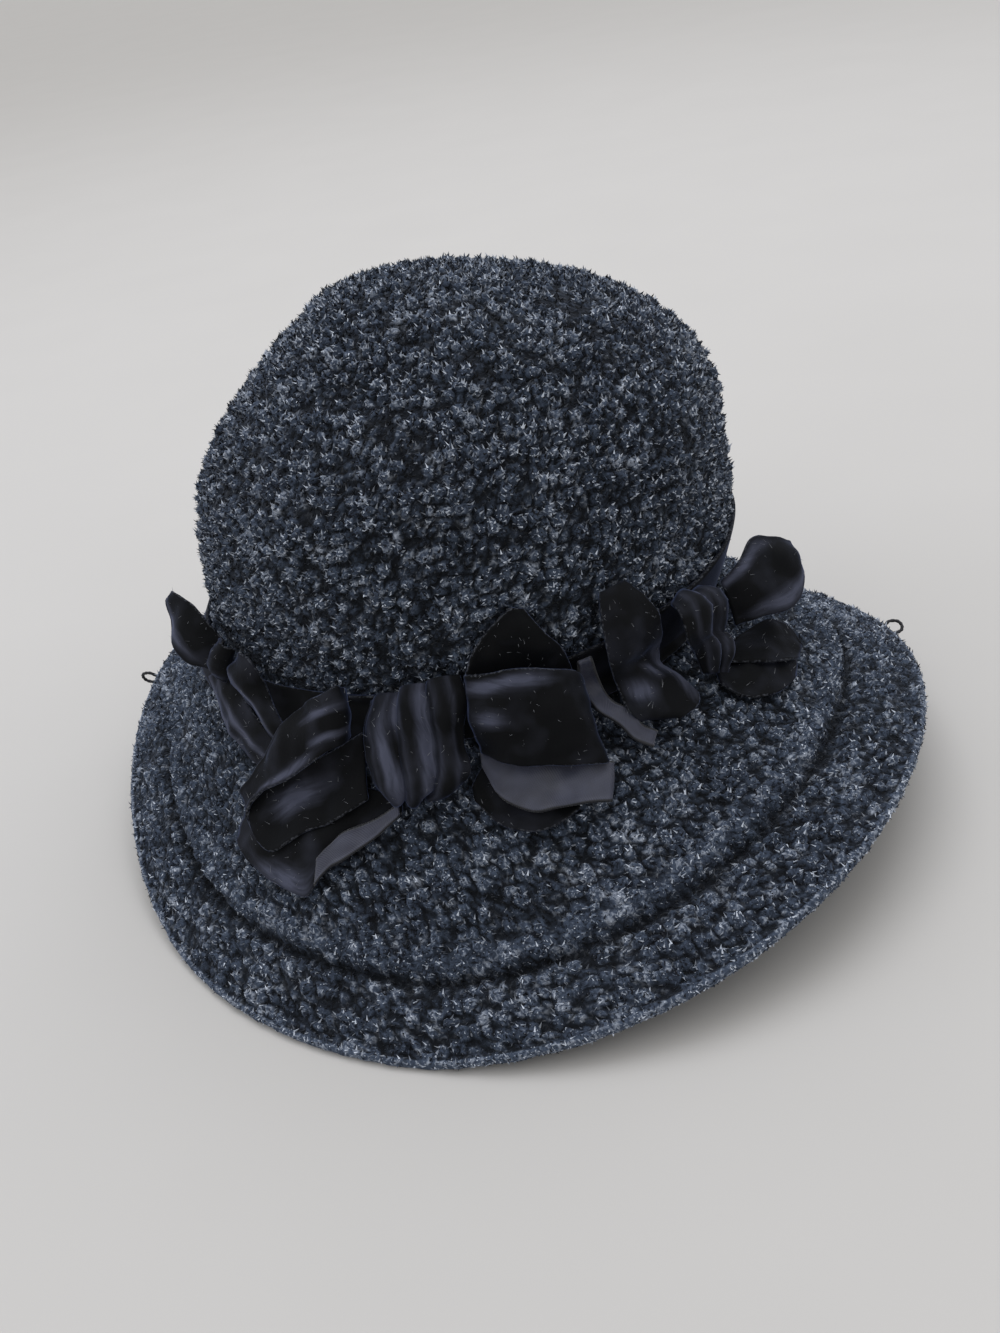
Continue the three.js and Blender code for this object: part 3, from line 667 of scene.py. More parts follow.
def add_node(tree, kind, links=None, out=0, stops=(), **settings):
    """Adds a node and returns one of its outputs, or the node itself where it has none.

    Links gives each input, by name or number, a value or another node's output. Stops are a
    colour ramp's positions and colours: its first, its last, and any between them.
    """
    node = tree.nodes.new(kind)
    for key, value in settings.items():
        setattr(node, key, value)
    for i, (position, colour) in enumerate(stops):
        ramp = node.color_ramp.elements
        element = ramp[i] if i < 2 else ramp.new(position)
        element.position, element.color = position, colour
    for key, value in (links or {}).items():
        if isinstance(value, bpy.types.NodeSocket):
            tree.links.new(value, node.inputs[key])
        else:
            node.inputs[key].default_value = value
    return node.outputs[out] if node.outputs else node


def new_material(name):
    """Material with an empty tree."""
    material = bpy.data.materials.new(name)
    material.use_nodes = True
    material.node_tree.nodes.clear()
    return material, material.node_tree


def grey(shade):
    """Grey of a linear shade."""
    return (shade, shade, shade, 1)


FLECK = 0.8  # mm, size of a pale fleck in the yarn
CLUMP = 5.5  # mm, size of the dark and pale patches that the stitches make
CLOUD = 38  # mm, size of the slow changes in shade over the hat
STREAK = {"long": 9, "wide": 1.6}  # mm, streaks that break up the velvet's painted highlights
WEAVE = 0.7  # mm, spacing of the satin's twill, drawn coarser than the real 0.3 mm


def per_mm(size):
    """Scale of a pattern on object coordinates whose features are this many mm apart."""
    return 1 / (size * MM)


NAP = 14  # mm across a patch of velvet that leans one way
FLUFF = 0.9  # mm across a tuft of velvet
SHEEN_CLOUD = 9  # mm across a patch of satin that shines alike
STRAND = 0.7  # mm across a strand of the cord


def heather(tree, sizes, own, shares, hollow_shade):
    """Colour of the heather yarn, from its own flecks, its patches and its stitches, with painted
    shade that darkens the hollows between the stitches.
    """
    tone = add_node(tree, "ShaderNodeAttribute", out="Fac", attribute_name="tone")
    relief = add_node(tree, "ShaderNodeAttribute", out="Fac", attribute_name="relief")
    place = add_node(tree, "ShaderNodeTexCoord", out="Object")
    links = {"Vector": place, "Scale": per_mm(CLUMP), "Detail": 1.0}
    clump = add_node(tree, "ShaderNodeTexNoise", links)
    links = {"Vector": place, "Scale": per_mm(CLOUD), "Detail": 1.0}
    cloud = add_node(tree, "ShaderNodeTexNoise", links)
    dark, middle, light = linear(sizes.dark), linear(sizes.middle), linear(sizes.light)
    shades = [(0.24, dark), (0.86, light), (0.5, middle)]
    shade = 0.0
    for value, share in zip((own, clump, cloud, tone), shares):
        links = {0: value, 1: share, 2: shade}
        shade = add_node(tree, "ShaderNodeMath", links, operation="MULTIPLY_ADD")
    colour = add_node(tree, "ShaderNodeValToRGB", {0: shade}, stops=shades)
    # Painted shade: the colour is multiplied toward near black where the stitch relief is low, in
    # the hollows between stitches.
    depth = add_node(tree, "ShaderNodeValToRGB", {0: relief}, stops=hollow_shade)
    links = {0: 1.0, 6: colour, 7: depth}
    return add_node(tree, "ShaderNodeMix", links, 2, data_type="RGBA", blend_type="MULTIPLY")


def chenille_core(sizes):
    """Chenille yarn, knitted. The eye sees dark navy nubs with pale flecks; the dark hollows are
    painted shade.
    """
    material, tree = new_material("Chenille yarn, knitted")
    place = add_node(tree, "ShaderNodeTexCoord", out="Object")
    links = {"Vector": place, "Scale": per_mm(FLECK * 2), "Detail": 2.0, "Distortion": 0.8}
    fleck = add_node(tree, "ShaderNodeTexNoise", links)
    # Painted shade: near black in the hollows between stitches, full colour on the nubs.
    hollow_shade = [(0.03, grey(0.08)), (0.42, grey(1.0))]
    links = {"Height": fleck, "Strength": 0.9, "Distance": 0.0008}
    shader = add_node(
        tree,
        "ShaderNodeBsdfPrincipled",
        {
            "Base Color": heather(tree, sizes, fleck, (0.7, 0.08, 0.12, 0.1), hollow_shade),
            "Roughness": 0.95,
            "Normal": add_node(tree, "ShaderNodeBump", links),
            "Sheen Weight": 0.25,
            "Sheen Roughness": 0.5,
            "Sheen Tint": linear("#8f9bb0"),
            "Specular IOR Level": 0.2,
        },
    )
    add_node(tree, "ShaderNodeOutputMaterial", {"Surface": shader})
    return material


def chenille_pile(sizes):
    """Chenille yarn, cut pile. The eye sees single curled fibres, some near white."""
    material, tree = new_material("Chenille yarn, cut pile")
    own = add_node(tree, "ShaderNodeAttribute", out="Fac", attribute_name="fleck")
    # Painted shade: near black in the hollows between stitches, full colour on the nubs.
    hollow_shade = [(0.04, grey(0.04)), (0.45, grey(1.0))]
    shader = add_node(
        tree,
        "ShaderNodeBsdfPrincipled",
        {
            "Base Color": heather(tree, sizes, own, (0.78, 0.05, 0.1, 0.07), hollow_shade),
            "Roughness": 0.8,
            "Sheen Weight": 0.2,
            "Sheen Roughness": 0.4,
            "Sheen Tint": linear("#9aa6ba"),
            "Specular IOR Level": 0.3,
        },
    )
    add_node(tree, "ShaderNodeOutputMaterial", {"Surface": shader})
    return material


def velvet(sizes):
    """Silk velvet, woven with a cut pile. Black face on, it goes grey at a slant, it is painted
    grey in streaks as highlights on its folds, and its edge is a dull woven line."""
    material, tree = new_material("Silk velvet, cut pile")
    place = add_node(tree, "ShaderNodeTexCoord", out="Object")
    links = {"Vector": place, "Scale": per_mm(NAP), "Detail": 2.0}
    nap = add_node(tree, "ShaderNodeTexNoise", links)
    links = {"Vector": place, "Scale": per_mm(FLUFF), "Detail": 1.0}
    fluff = add_node(tree, "ShaderNodeTexNoise", links)
    names = ("painted_highlight", "along", "across", "from_edge")
    painted_highlight, along, across, from_edge = (
        add_node(tree, "ShaderNodeAttribute", out="Fac", attribute_name=name) for name in names
    )
    links = {0: along, 1: 1 / STREAK["long"]}
    far = add_node(tree, "ShaderNodeMath", links, operation="MULTIPLY")
    links = {0: across, 1: 1 / STREAK["wide"]}
    side = add_node(tree, "ShaderNodeMath", links, operation="MULTIPLY")
    lines = add_node(tree, "ShaderNodeCombineXYZ", {0: far, 1: side})
    links = {"Vector": lines, "Scale": 1.0, "Detail": 3.0}
    streak = add_node(tree, "ShaderNodeTexNoise", links)
    # Painted highlights: grey streaks mixed into the velvet's colour from the listed highlights
    # and pleat ridges, with random patches of nap.
    streaked = add_node(tree, "ShaderNodeMath", {0: painted_highlight, 1: streak}, operation="MULTIPLY")
    highlight_streaks = add_node(tree, "ShaderNodeMath", {0: streaked, 1: 1.9}, operation="MULTIPLY")
    links = {0: nap, 1: 0.65, 2: highlight_streaks}
    painted_sheen = add_node(tree, "ShaderNodeMath", links, operation="MULTIPLY_ADD")
    share = add_node(tree, "ShaderNodeMapRange", {0: painted_sheen, 1: 0.32, 2: 1.15, 3: 0.0, 4: 1.0})
    links = {0: share, 6: linear(sizes.velvet), 7: linear(sizes.painted_sheen)}
    colour = add_node(tree, "ShaderNodeMix", links, 2, data_type="RGBA")
    links = {0: fluff, 1: 1.2, 2: from_edge}
    fray = add_node(tree, "ShaderNodeMath", links, operation="MULTIPLY_ADD")
    reach = sizes.selvedge / MM + 0.2
    links = {0: fray, 1: reach, 2: reach - 0.4, 3: 0.0, 4: 0.75}
    links = {0: add_node(tree, "ShaderNodeMapRange", links), 6: colour, 7: linear(sizes.edge)}
    colour = add_node(tree, "ShaderNodeMix", links, 2, data_type="RGBA")
    links = {"Height": fluff, "Strength": 0.25, "Distance": 0.0003}
    shader = add_node(
        tree,
        "ShaderNodeBsdfPrincipled",
        {
            "Base Color": colour,
            "Roughness": 0.75,
            "Normal": add_node(tree, "ShaderNodeBump", links),
            "Sheen Weight": 0.9,
            "Sheen Roughness": 0.32,
            "Sheen Tint": linear("#4c587a"),
            "Specular IOR Level": 0.15,
        },
    )
    add_node(tree, "ShaderNodeOutputMaterial", {"Surface": shader})
    return material


def satin(sizes):
    """Satin back of the ribbon, woven. Smooth blue grey with a fine slanting twill."""
    material, tree = new_material("Satin back, woven")
    along, across, from_edge = (
        add_node(tree, "ShaderNodeAttribute", out="Fac", attribute_name=name)
        for name in ("along", "across", "from_edge")
    )
    slant = add_node(tree, "ShaderNodeMath", {0: along, 1: across}, operation="ADD")
    links = {0: slant, 1: 2 * math.pi / WEAVE}
    turns = add_node(tree, "ShaderNodeMath", links, operation="MULTIPLY")
    twill = add_node(tree, "ShaderNodeMath", {0: turns}, operation="SINE")
    stops = [(0.3, linear("#2b2d3a")), (0.75, linear(sizes.satin))]
    place = add_node(tree, "ShaderNodeTexCoord", out="Object")
    links = {"Vector": place, "Scale": per_mm(SHEEN_CLOUD), "Detail": 2.0}
    cloud = add_node(tree, "ShaderNodeTexNoise", links)
    colour = add_node(tree, "ShaderNodeValToRGB", {0: cloud}, stops=stops)
    reach = sizes.selvedge / MM
    links = {0: from_edge, 1: reach, 2: reach - 0.3, 3: 0.0, 4: 1.0}
    links = {0: add_node(tree, "ShaderNodeMapRange", links), 6: colour, 7: linear("#1b1c21")}
    colour = add_node(tree, "ShaderNodeMix", links, 2, data_type="RGBA")
    links = {"Height": twill, "Strength": 0.35, "Distance": 0.00015}
    shader = add_node(
        tree,
        "ShaderNodeBsdfPrincipled",
        {
            "Base Color": colour,
            "Roughness": 0.42,
            "Normal": add_node(tree, "ShaderNodeBump", links),
            "Sheen Weight": 0.15,
            "Sheen Roughness": 0.4,
            "Anisotropic": 0.5,
            "Specular IOR Level": 0.5,
        },
    )
    add_node(tree, "ShaderNodeOutputMaterial", {"Surface": shader})
    return material


def cotton_lint(sizes):
    """Cotton lint, loose. Grey threads of dust that cling to the velvet."""
    material, tree = new_material("Cotton lint, loose")
    links = {"Base Color": linear(sizes.lint), "Roughness": 0.9}
    shader = add_node(tree, "ShaderNodeBsdfPrincipled", links)
    add_node(tree, "ShaderNodeOutputMaterial", {"Surface": shader})
    return material


def twisted_cord(sizes):
    """Cotton cord, twisted. Black, with a dull line where its strands meet."""
    material, tree = new_material("Cotton cord, twisted")
    place = add_node(tree, "ShaderNodeTexCoord", out="Object")
    links = {"Vector": place, "Scale": per_mm(STRAND), "Detail": 2.0}
    lint = add_node(tree, "ShaderNodeTexNoise", links)
    stops = [(0.35, linear(sizes.cord)), (0.8, linear("#2c2d31"))]
    colour = add_node(tree, "ShaderNodeValToRGB", {0: lint}, stops=stops)
    bumps = add_node(tree, "ShaderNodeBump", {"Height": lint, "Strength": 0.4, "Distance": 0.0003})
    links = {"Base Color": colour, "Roughness": 0.7, "Normal": bumps}
    shader = add_node(tree, "ShaderNodeBsdfPrincipled", links)
    add_node(tree, "ShaderNodeOutputMaterial", {"Surface": shader})
    return material


def material_of(maker, sizes):
    """The material that a function makes, made once and then shared."""
    label = "made by " + maker.__name__
    for material in bpy.data.materials:
        if material.get(label):
            return material
    material = maker(sizes)
    material[label] = True
    return material


# ---- Pile by Geometry Nodes -------------------------------------------------------------


def pile_tree(material):
    """Tree that sets short fibres on a surface, leaning every way, as thickly as its pile says."""
    tree = bpy.data.node_groups.new("Cut pile", "GeometryNodeTree")
    tree.is_modifier = True
    ports = tree.interface
    ports.new_socket(name="Geometry", in_out="INPUT", socket_type="NodeSocketGeometry")
    for name in ("Fibres per area", "Length", "Width", "Stand", "Half"):
        ports.new_socket(name=name, in_out="INPUT", socket_type="NodeSocketFloat")
    ports.new_socket(name="Seed", in_out="INPUT", socket_type="NodeSocketInt")
    ports.new_socket(name="Geometry", in_out="OUTPUT", socket_type="NodeSocketGeometry")
    given = add_node(tree, "NodeGroupInput").node.outputs
    where = add_node(tree, "GeometryNodeInputPosition")
    y = add_node(tree, "ShaderNodeSeparateXYZ", {0: where}, "Y")
    side = add_node(tree, "ShaderNodeMath", {0: y, 1: given["Half"]}, operation="MULTIPLY")
    kept = add_node(tree, "ShaderNodeMath", {0: side, 1: 0.0}, operation="GREATER_THAN")
    thick = add_node(
        tree, "GeometryNodeInputNamedAttribute", {"Name": "pile"}, "Attribute", data_type="FLOAT"
    )
    links = {0: thick, 1: given["Fibres per area"]}
    full = add_node(tree, "ShaderNodeMath", links, operation="MULTIPLY")
    density = add_node(tree, "ShaderNodeMath", {0: full, 1: kept}, operation="MULTIPLY")
    links = {"Mesh": given["Geometry"], "Density": density, "Seed": given["Seed"]}
    points = add_node(
        tree, "GeometryNodeDistributePointsOnFaces", links, distribute_method="RANDOM"
    ).node.outputs
    links = {"Min": (-1, -1, -1), "Max": (1, 1, 1), "Seed": given["Seed"]}
    any_way = add_node(tree, "FunctionNodeRandomValue", links, data_type="FLOAT_VECTOR")
    links = {0: points["Normal"], "Scale": given["Stand"]}
    stand = add_node(tree, "ShaderNodeVectorMath", links, operation="SCALE")
    lean = add_node(tree, "ShaderNodeVectorMath", {0: stand, 1: any_way}, operation="ADD")
    turned = add_node(tree, "FunctionNodeAlignRotationToVector", {"Vector": lean}, axis="Z")
    links = {"Min": (0.7, 0.45, 0.55), "Max": (1.5, 0.9, 1.5), "Seed": given["Seed"]}
    size = add_node(tree, "FunctionNodeRandomValue", links, data_type="FLOAT_VECTOR")
    links = {
        "Vertices": 3,
        "Side Segments": 1,
        "Radius Top": 0.0,
        "Radius Bottom": given["Width"],
        "Depth": given["Length"],
    }
    fibre = add_node(tree, "GeometryNodeMeshCone", links, "Mesh", fill_type="NGON")
    links = {"Points": points["Points"], "Instance": fibre, "Rotation": turned, "Scale": size}
    placed = add_node(tree, "GeometryNodeInstanceOnPoints", links)
    links = {"Seed": given["Seed"]}
    shade = add_node(tree, "FunctionNodeRandomValue", links, 1, data_type="FLOAT")
    links = {"Geometry": placed, "Name": "fleck", "Value": shade}
    told = add_node(
        tree, "GeometryNodeStoreNamedAttribute", links, data_type="FLOAT", domain="INSTANCE"
    )
    real = add_node(tree, "GeometryNodeRealizeInstances", {0: told})
    done = add_node(tree, "GeometryNodeSetMaterial", {"Geometry": real, "Material": material})
    add_node(tree, "NodeGroupOutput", {0: done})
    return tree


def made_by_tree(name, carrier, tree, values):
    """Plain mesh object of what a tree makes on a carrier, which keeps no modifier."""
    modifier = carrier.modifiers.new(name, "NODES")
    modifier.node_group = tree
    for item in tree.interface.items_tree:
        if item.in_out == "INPUT" and item.name in values:
            modifier[item.identifier] = values[item.name]
    bpy.context.view_layer.update()
    evaluated = carrier.evaluated_get(bpy.context.evaluated_depsgraph_get())
    mesh = bpy.data.meshes.new_from_object(evaluated)
    mesh.name = name
    piece = bpy.data.objects.new(name, mesh)
    bpy.context.scene.collection.objects.link(piece)
    carrier.modifiers.remove(modifier)
    return piece


# ---- Crown and brim ---------------------------------------------------------------------

CROWN_COLUMNS = 470
CROWN_ROWS = 142
CROWN_INNER_ROWS = 14
BRIM_COLUMNS = 600
BRIM_ROWS = 76
BRIM_EDGE_STEPS = 7
BRIM_UNDER_ROWS = 26


BAND_COLUMNS = {"round": 240, "across": 15}


def full_turns(columns):
    """Turns of the columns of a ring."""
    return np.arange(columns) * 360 / columns


def ring_lengths(points):
    """Length of each ring of points."""
    return np.linalg.norm(points - np.roll(points, 1, axis=1), axis=-1).sum(axis=1)


def crown_piece(sizes):
    """The crown as one closed shell with its stitches standing out."""
    turns = full_turns(CROWN_COLUMNS)[None, :]
    fine = np.linspace(0, CROWN_TOP, 600)
    profile = crown_face(90.0, fine)
    steps = np.linalg.norm(np.diff(profile, axis=0), axis=-1)
    lengths = np.concatenate([[0], np.cumsum(steps)])
    travel = np.linspace(0, lengths[-1], CROWN_ROWS + 1)[:-1, None]
    place = np.interp(travel, lengths, fine)
    outer = crown_face(turns, place)
    normals = normal_of(crown_face, turns, place)
    course = sizes.course / MM
    wander = 1.2 * soft_noise(outer, 30, 3)
    relief, tone = stitch_relief(outer, (travel + wander) / course, sizes.stitch / MM)
    lumps = soft_noise(outer, 13, 5)
    raised = (relief - 0.5) * sizes.nub / MM + 0.9 * lumps
    near_foot = smoothstep(travel, 0, 4)
    outer = outer + normals * (raised * near_foot)[..., None]
    lift = CROWN_AXIS * GAP / 2
    inner_place = np.linspace(CROWN_TOP, 0, CROWN_INNER_ROWS + 1)[1:, None]
    inner_face = crown_face(turns, inner_place)
    inner_normals = normal_of(crown_face, turns, np.maximum(inner_place, 0.02))
    inner_normals[-1] = away_from(turns[0], BRIM_SLOPE / 2)
    wall = sizes.wall / MM
    inner = inner_face - inner_normals * wall
    tip = smooth_crown(0.0, float(CROWN_TOP))
    rings = np.concatenate([outer, inner]) + lift
    poles = np.stack([crown_face(0.0, np.float64(CROWN_TOP)), tip - CROWN_AXIS * wall]) + lift
    points = np.concatenate([rings.reshape(-1, 3), poles])
    count = len(rings)
    quads = ring_faces(count, CROWN_COLUMNS, True)
    cut = (CROWN_ROWS - 1) * CROWN_COLUMNS
    faces = quads[:cut] + quads[cut + CROWN_COLUMNS :]
    top, under = len(points) - 2, len(points) - 1
    for j in range(CROWN_COLUMNS):
        k = (j + 1) % CROWN_COLUMNS
        faces.append([cut + j, cut + k, top])
        faces.append([cut + CROWN_COLUMNS + k, cut + CROWN_COLUMNS + j, under])
    plain = np.full(inner[..., 0].size, 0.5)
    # Painted shade: the relief fades to 0 at the crown's foot, which paints its lowest few mm near
    # black.
    relief_shade = np.concatenate([(relief * near_foot).ravel(), plain, [1, 0.5]])
    tones = np.concatenate([tone.ravel(), np.full(inner[..., 0].size + 2, 0.5)])
    pile_out = 0.35 + 0.75 * smoothstep(relief, 0.1, 0.5)
    pile_in = np.full(inner[..., 0].size, 0.05)
    pile = np.concatenate([pile_out.ravel(), pile_in, [1, 0]])
    return new_piece(
        "knitted_crown",
        points,
        faces,
        [material_of(chenille_core, sizes)],
        attributes={"relief": relief_shade, "tone": tones, "pile": pile},
    )


def brim_piece(sizes):
    """The brim as one closed shell with its stitches, edge band and groove."""
    turns = full_turns(BRIM_COLUMNS)[None, :]
    length = brim_length(turns)
    share = np.linspace(0, 1, BRIM_ROWS + 1)[:, None]
    from_edge = (1 - share) * length
    drop = -CROWN_AXIS * GAP / 2
    top = smooth_brim(turns, share)
    normals = brim_normal(turns, share + 0 * turns)
    body = length.mean() - BAND_WIDE
    body_courses = round(body * MM / sizes.course)
    on_body = (length - from_edge) / (length - BAND_WIDE) * body_courses
    on_band = body_courses + (BAND_WIDE - from_edge) / BAND_WIDE * BAND_COURSES
    courses = np.where(from_edge > BAND_WIDE, on_body, on_band)
    wander = soft_noise(top, 34, 9)
    relief, tone = stitch_relief(top, courses + 0.12 * wander, sizes.stitch / MM)
    lumps = soft_noise(top, 14, 6)
    ends = smoothstep(share, 0, 0.04) * smoothstep(from_edge, -1, 3)
    raised = ((relief - 0.5) * sizes.nub / MM + 0.7 * lumps) * ends
    top = top + normals * (band_relief(from_edge) + raised)[..., None] + drop
    wall = sizes.wall / MM
    edge_normals = brim_normal(turns, np.ones_like(turns))
    outward = unit(brim_edge(turns) * [1, 1, 0])
    rounds = np.pi * np.arange(1, BRIM_EDGE_STEPS + 1)[:, None, None] / (BRIM_EDGE_STEPS + 1)
    depth = wall / 2 * (1 - np.cos(rounds))
    rim = smooth_brim(turns, np.ones_like(turns)) - edge_normals * depth + drop
    rim = rim + outward * wall / 2 * np.sin(rounds)
    under_share = np.linspace(1, 0, BRIM_UNDER_ROWS)[:, None]
    under = smooth_brim(turns, under_share)
    under = under - brim_normal(turns, under_share + 0 * turns) * wall + drop
    rings = np.concatenate([top, rim, under])
    knobs = 0.5 * soft_noise(rings[BRIM_ROWS + 1 :], 3.2, 8)
    rings[BRIM_ROWS + 1 : -1] += unit(rings[BRIM_ROWS + 1 : -1] - top[-1]) * knobs[:-1, :, None]
    rings[..., 2] = np.maximum(rings[..., 2], 0)
    floor_free = rings[..., 2] > 1.4
    thick = 0.35 + 0.75 * smoothstep(relief, 0.1, 0.5)
    pile = np.concatenate([thick, np.ones(rim.shape[:2]), np.full(under.shape[:2], 0.12)])
    # Painted shade in the groove behind the edge band and a painted highlight on the ridge behind
    # that, mixed into the relief that sets the colour.
    groove = bump(from_edge - BAND_WIDE, GROOVE["wide"])
    ridge = bump(from_edge - BAND_WIDE - RIDGE["behind"], RIDGE["wide"])
    lit = np.clip(relief * (1 - 0.9 * groove) + 0.25 * ridge, 0, 1)
    relief_shade = np.concatenate([lit, np.full(rim.shape[:2], 0.6), np.full(under.shape[:2], 0.5)])
    plain = np.full((len(relief_shade) - len(tone), BRIM_COLUMNS), 0.5)
    tones = np.concatenate([tone, plain])
    return new_piece(
        "knitted_brim",
        rings.reshape(-1, 3),
        ring_faces(len(rings), BRIM_COLUMNS, True),
        [material_of(chenille_core, sizes)],
        attributes={
            "relief": relief_shade.ravel(),
            "tone": tones.ravel(),
            "pile": (pile * floor_free).ravel(),
        },
    )


def pile_on(carrier, name, sizes, seed):
    """Pile on a knitted piece, in a front and a back half."""
    tree = pile_tree(material_of(chenille_pile, sizes))
    for half, side, number in (("front", -1.0, seed), ("back", 1.0, seed + 1)):
        values = {
            "Fibres per area": sizes.fibres,
            "Length": sizes.fibre,
            "Width": sizes.fibre_width,
            "Stand": 0.45,
            "Half": side,
            "Seed": number,
        }
        piece = made_by_tree(f"{name}_{half}", carrier, tree, values)
        finish_piece(piece, "yarn")


# ---- Ribbons ----------------------------------------------------------------------------

RIBBON_STEP = 1.4  # mm between points along a ribbon
RIBBON_COLUMNS = 22  # points across a ribbon, closer together at its edges


def edge_points(rows, edge, place):
    """Smooth curve through the rows' points on one edge of a ribbon, at places in rows."""
    turn, down, off = np.array([row[edge] for row in rows], float).T
    ends = on_hat(turn, down, off)
    return np.stack([along_rows(ends[:, axis], place) for axis in range(3)], axis=-1)


def ribbon_grid(table, sizes, seed):
    """Middle layer of a ribbon as a grid of points, its wrinkles, and shares along and across."""
    rows = table["rows"]
    rough = np.linspace(0, len(rows) - 1, 60)
    track = (edge_points(rows, "a", rough) + edge_points(rows, "b", rough)) / 2
    gone = np.concatenate([[0], np.cumsum(np.linalg.norm(np.diff(track, axis=0), axis=-1))])
    steps = max(8, round(gone[-1] / RIBBON_STEP))
    place = np.interp(np.linspace(0, gone[-1], steps + 1), gone, rough)
    columns = RIBBON_COLUMNS * (2 if "pleats" in table else 1)
    across = (1 - np.cos(np.linspace(0, np.pi, columns))) / 2
    across = 0.6 * across + 0.4 * np.linspace(0, 1, columns)
    edge_a, edge_b = edge_points(rows, "a", place), edge_points(rows, "b", place)
    normals = unit(np.cross(np.gradient(edge_a + edge_b, axis=0), edge_b - edge_a))
    early = round(steps / 4)
    outward = 1 if (normals[early] * edge_a[early] * [1, 1, 0]).sum() > 0 else -1
    pleats = table.get("pleats", {"count": 0, "deep": 0})
    height = along_rows([row["swell"] for row in rows], place)[:, None] * np.sin(np.pi * across)
    height = height + pleats["deep"] * np.abs(np.sin(np.pi * pleats["count"] * across))
    grid = edge_a[:, None] + (edge_b - edge_a)[:, None] * across[:, None]
    grid = grid + outward * normals[:, None] * height[..., None]
    if outward < 0:
        grid, across = grid[:, ::-1], across[::-1]
    folds = soft_noise(grid, 11, seed) + 0.5 * soft_noise(grid, 5, seed + 1)
    share = np.linspace(0, 1, steps + 1)[:, None] + 0 * across
    return grid, folds * sizes.wrinkle / MM, share, across + 0 * share


def grid_normals(grid):
    """Normals of a grid of points, away from the hat for a ribbon's outer layer."""
    along = np.gradient(grid, axis=0)
    across = np.gradient(grid, axis=1)
    return unit(np.cross(along, across))


def on_both_faces(values, edge):
    """A ribbon's values for its outer face, its edge b, its inner face and its edge a."""
    edge_b, edge_a = values[:, -1:] * edge, values[:, :1] * edge
    return np.concatenate([values, edge_b, values[:, ::-1], edge_a], axis=1).ravel()


def ribbon_piece(name, table, sizes, seed):
    """One stretch of ribbon: a velvet face, a satin back, and a beaded woven edge."""
    grid, folds, share, across = ribbon_grid(table, sizes, seed)
    normals = grid_normals(grid)
    grid = grid + normals * folds[..., None]
    normals = grid_normals(grid)
    rows, columns = grid.shape[:2]
    spans = np.linalg.norm(np.diff(grid, axis=1), axis=-1)
    from_a = np.concatenate([np.zeros((rows, 1)), np.cumsum(spans, axis=1)], axis=1)
    width = from_a[:, -1:]
    from_edge = np.minimum(from_a, width - from_a)
    along_mm = np.concatenate(
        [np.zeros((1, columns)), np.cumsum(np.linalg.norm(np.diff(grid, axis=0), axis=-1), axis=0)]
    )
    half = sizes.thick / MM / 2
    bead = half * (0.8 + 0.35 * bump(from_edge - 0.5, 0.5))
    outer = grid + normals * bead[..., None]
    inner = grid - normals * bead[..., None]
    left = unit(grid[:, 0] - grid[:, 1]) * half * 0.7
    right = unit(grid[:, -1] - grid[:, -2]) * half * 0.7
    edge_a, edge_b = grid[:, :1] + left[:, None], grid[:, -1:] + right[:, None]
    section = np.concatenate([outer, edge_b, inner[:, ::-1], edge_a], axis=1)
    around = section.shape[1]
    faces = ring_faces(rows, around, False)
    for start in (0, (rows - 1) * around):
        ring = [start + k for k in range(around)]
        for j in range(columns):
            facing = 2 * columns - j
            ends = [ring[j], ring[j + 1], ring[facing], ring[(facing + 1) % around]]
            faces.append(list(dict.fromkeys(ends)))
    pleats = table.get("pleats", {"count": 0, "deep": 0})
    # Painted highlights on the ridges of the pleats and at the places that the shine table lists.
    phase = np.abs(np.sin(np.pi * pleats["count"] * across))
    painted_highlight = 0.25 * bump(phase - 0.75, 0.16) * (pleats["count"] > 0)
    for shine in table.get("shine", []):
        lit = bump(share - shine["along"], shine["long"])
        painted_highlight = painted_highlight + lit * bump(across - shine["across"], shine["wide"])
    points = section.reshape(-1, 3)
    face_side = np.array([min(face[0] % around, face[2] % around) for face in faces])
    is_inner = (face_side >= columns).astype(int)
    satin_out = table.get("satin", False)
    piece = new_piece(
        name,
        points,
        faces,
        [material_of(velvet, sizes), material_of(satin, sizes)],
        (1 - is_inner) if satin_out else is_inner * (name not in VELVET_BACKS),
        {
            "from_edge": on_both_faces(from_edge, 0),
            "across": on_both_faces(from_a, 1),
            "along": on_both_faces(along_mm, 1),
            "painted_highlight": on_both_faces(painted_highlight, 1),
            "pile": on_both_faces(np.ones_like(painted_highlight), 1),
        },
    )
    make_outward(piece)
    length, wide = along_mm[-1].mean(), width.mean()
    return piece, (wide * MM, length * MM)


def make_outward(piece):
    """Turns a closed mesh's faces outward."""
    work = bmesh.new()
    work.from_mesh(piece.data)
    bmesh.ops.recalc_face_normals(work, faces=work.faces)
    if work.calc_volume(signed=True) < 0:
        bmesh.ops.reverse_faces(work, faces=work.faces)
    work.to_mesh(piece.data)
    work.free()


# Ribbons that are turned so that velvet shows on both of their sides.
VELVET_BACKS = (
    "ribbon_left_bow_loop",
    "ribbon_front_bow_left_loop",
    "ribbon_right_bow_inner_loop",
    "ribbon_right_bow_upper_loop",
)


# Lint on the velvet, as sparse threads that lie flat. The bows are all on the front half.
LINT = {
    "Fibres per area": 40000.0,
    "Length": 0.0016,
    "Width": 0.00009,
    "Stand": 0.1,
    "Half": -1.0,
}


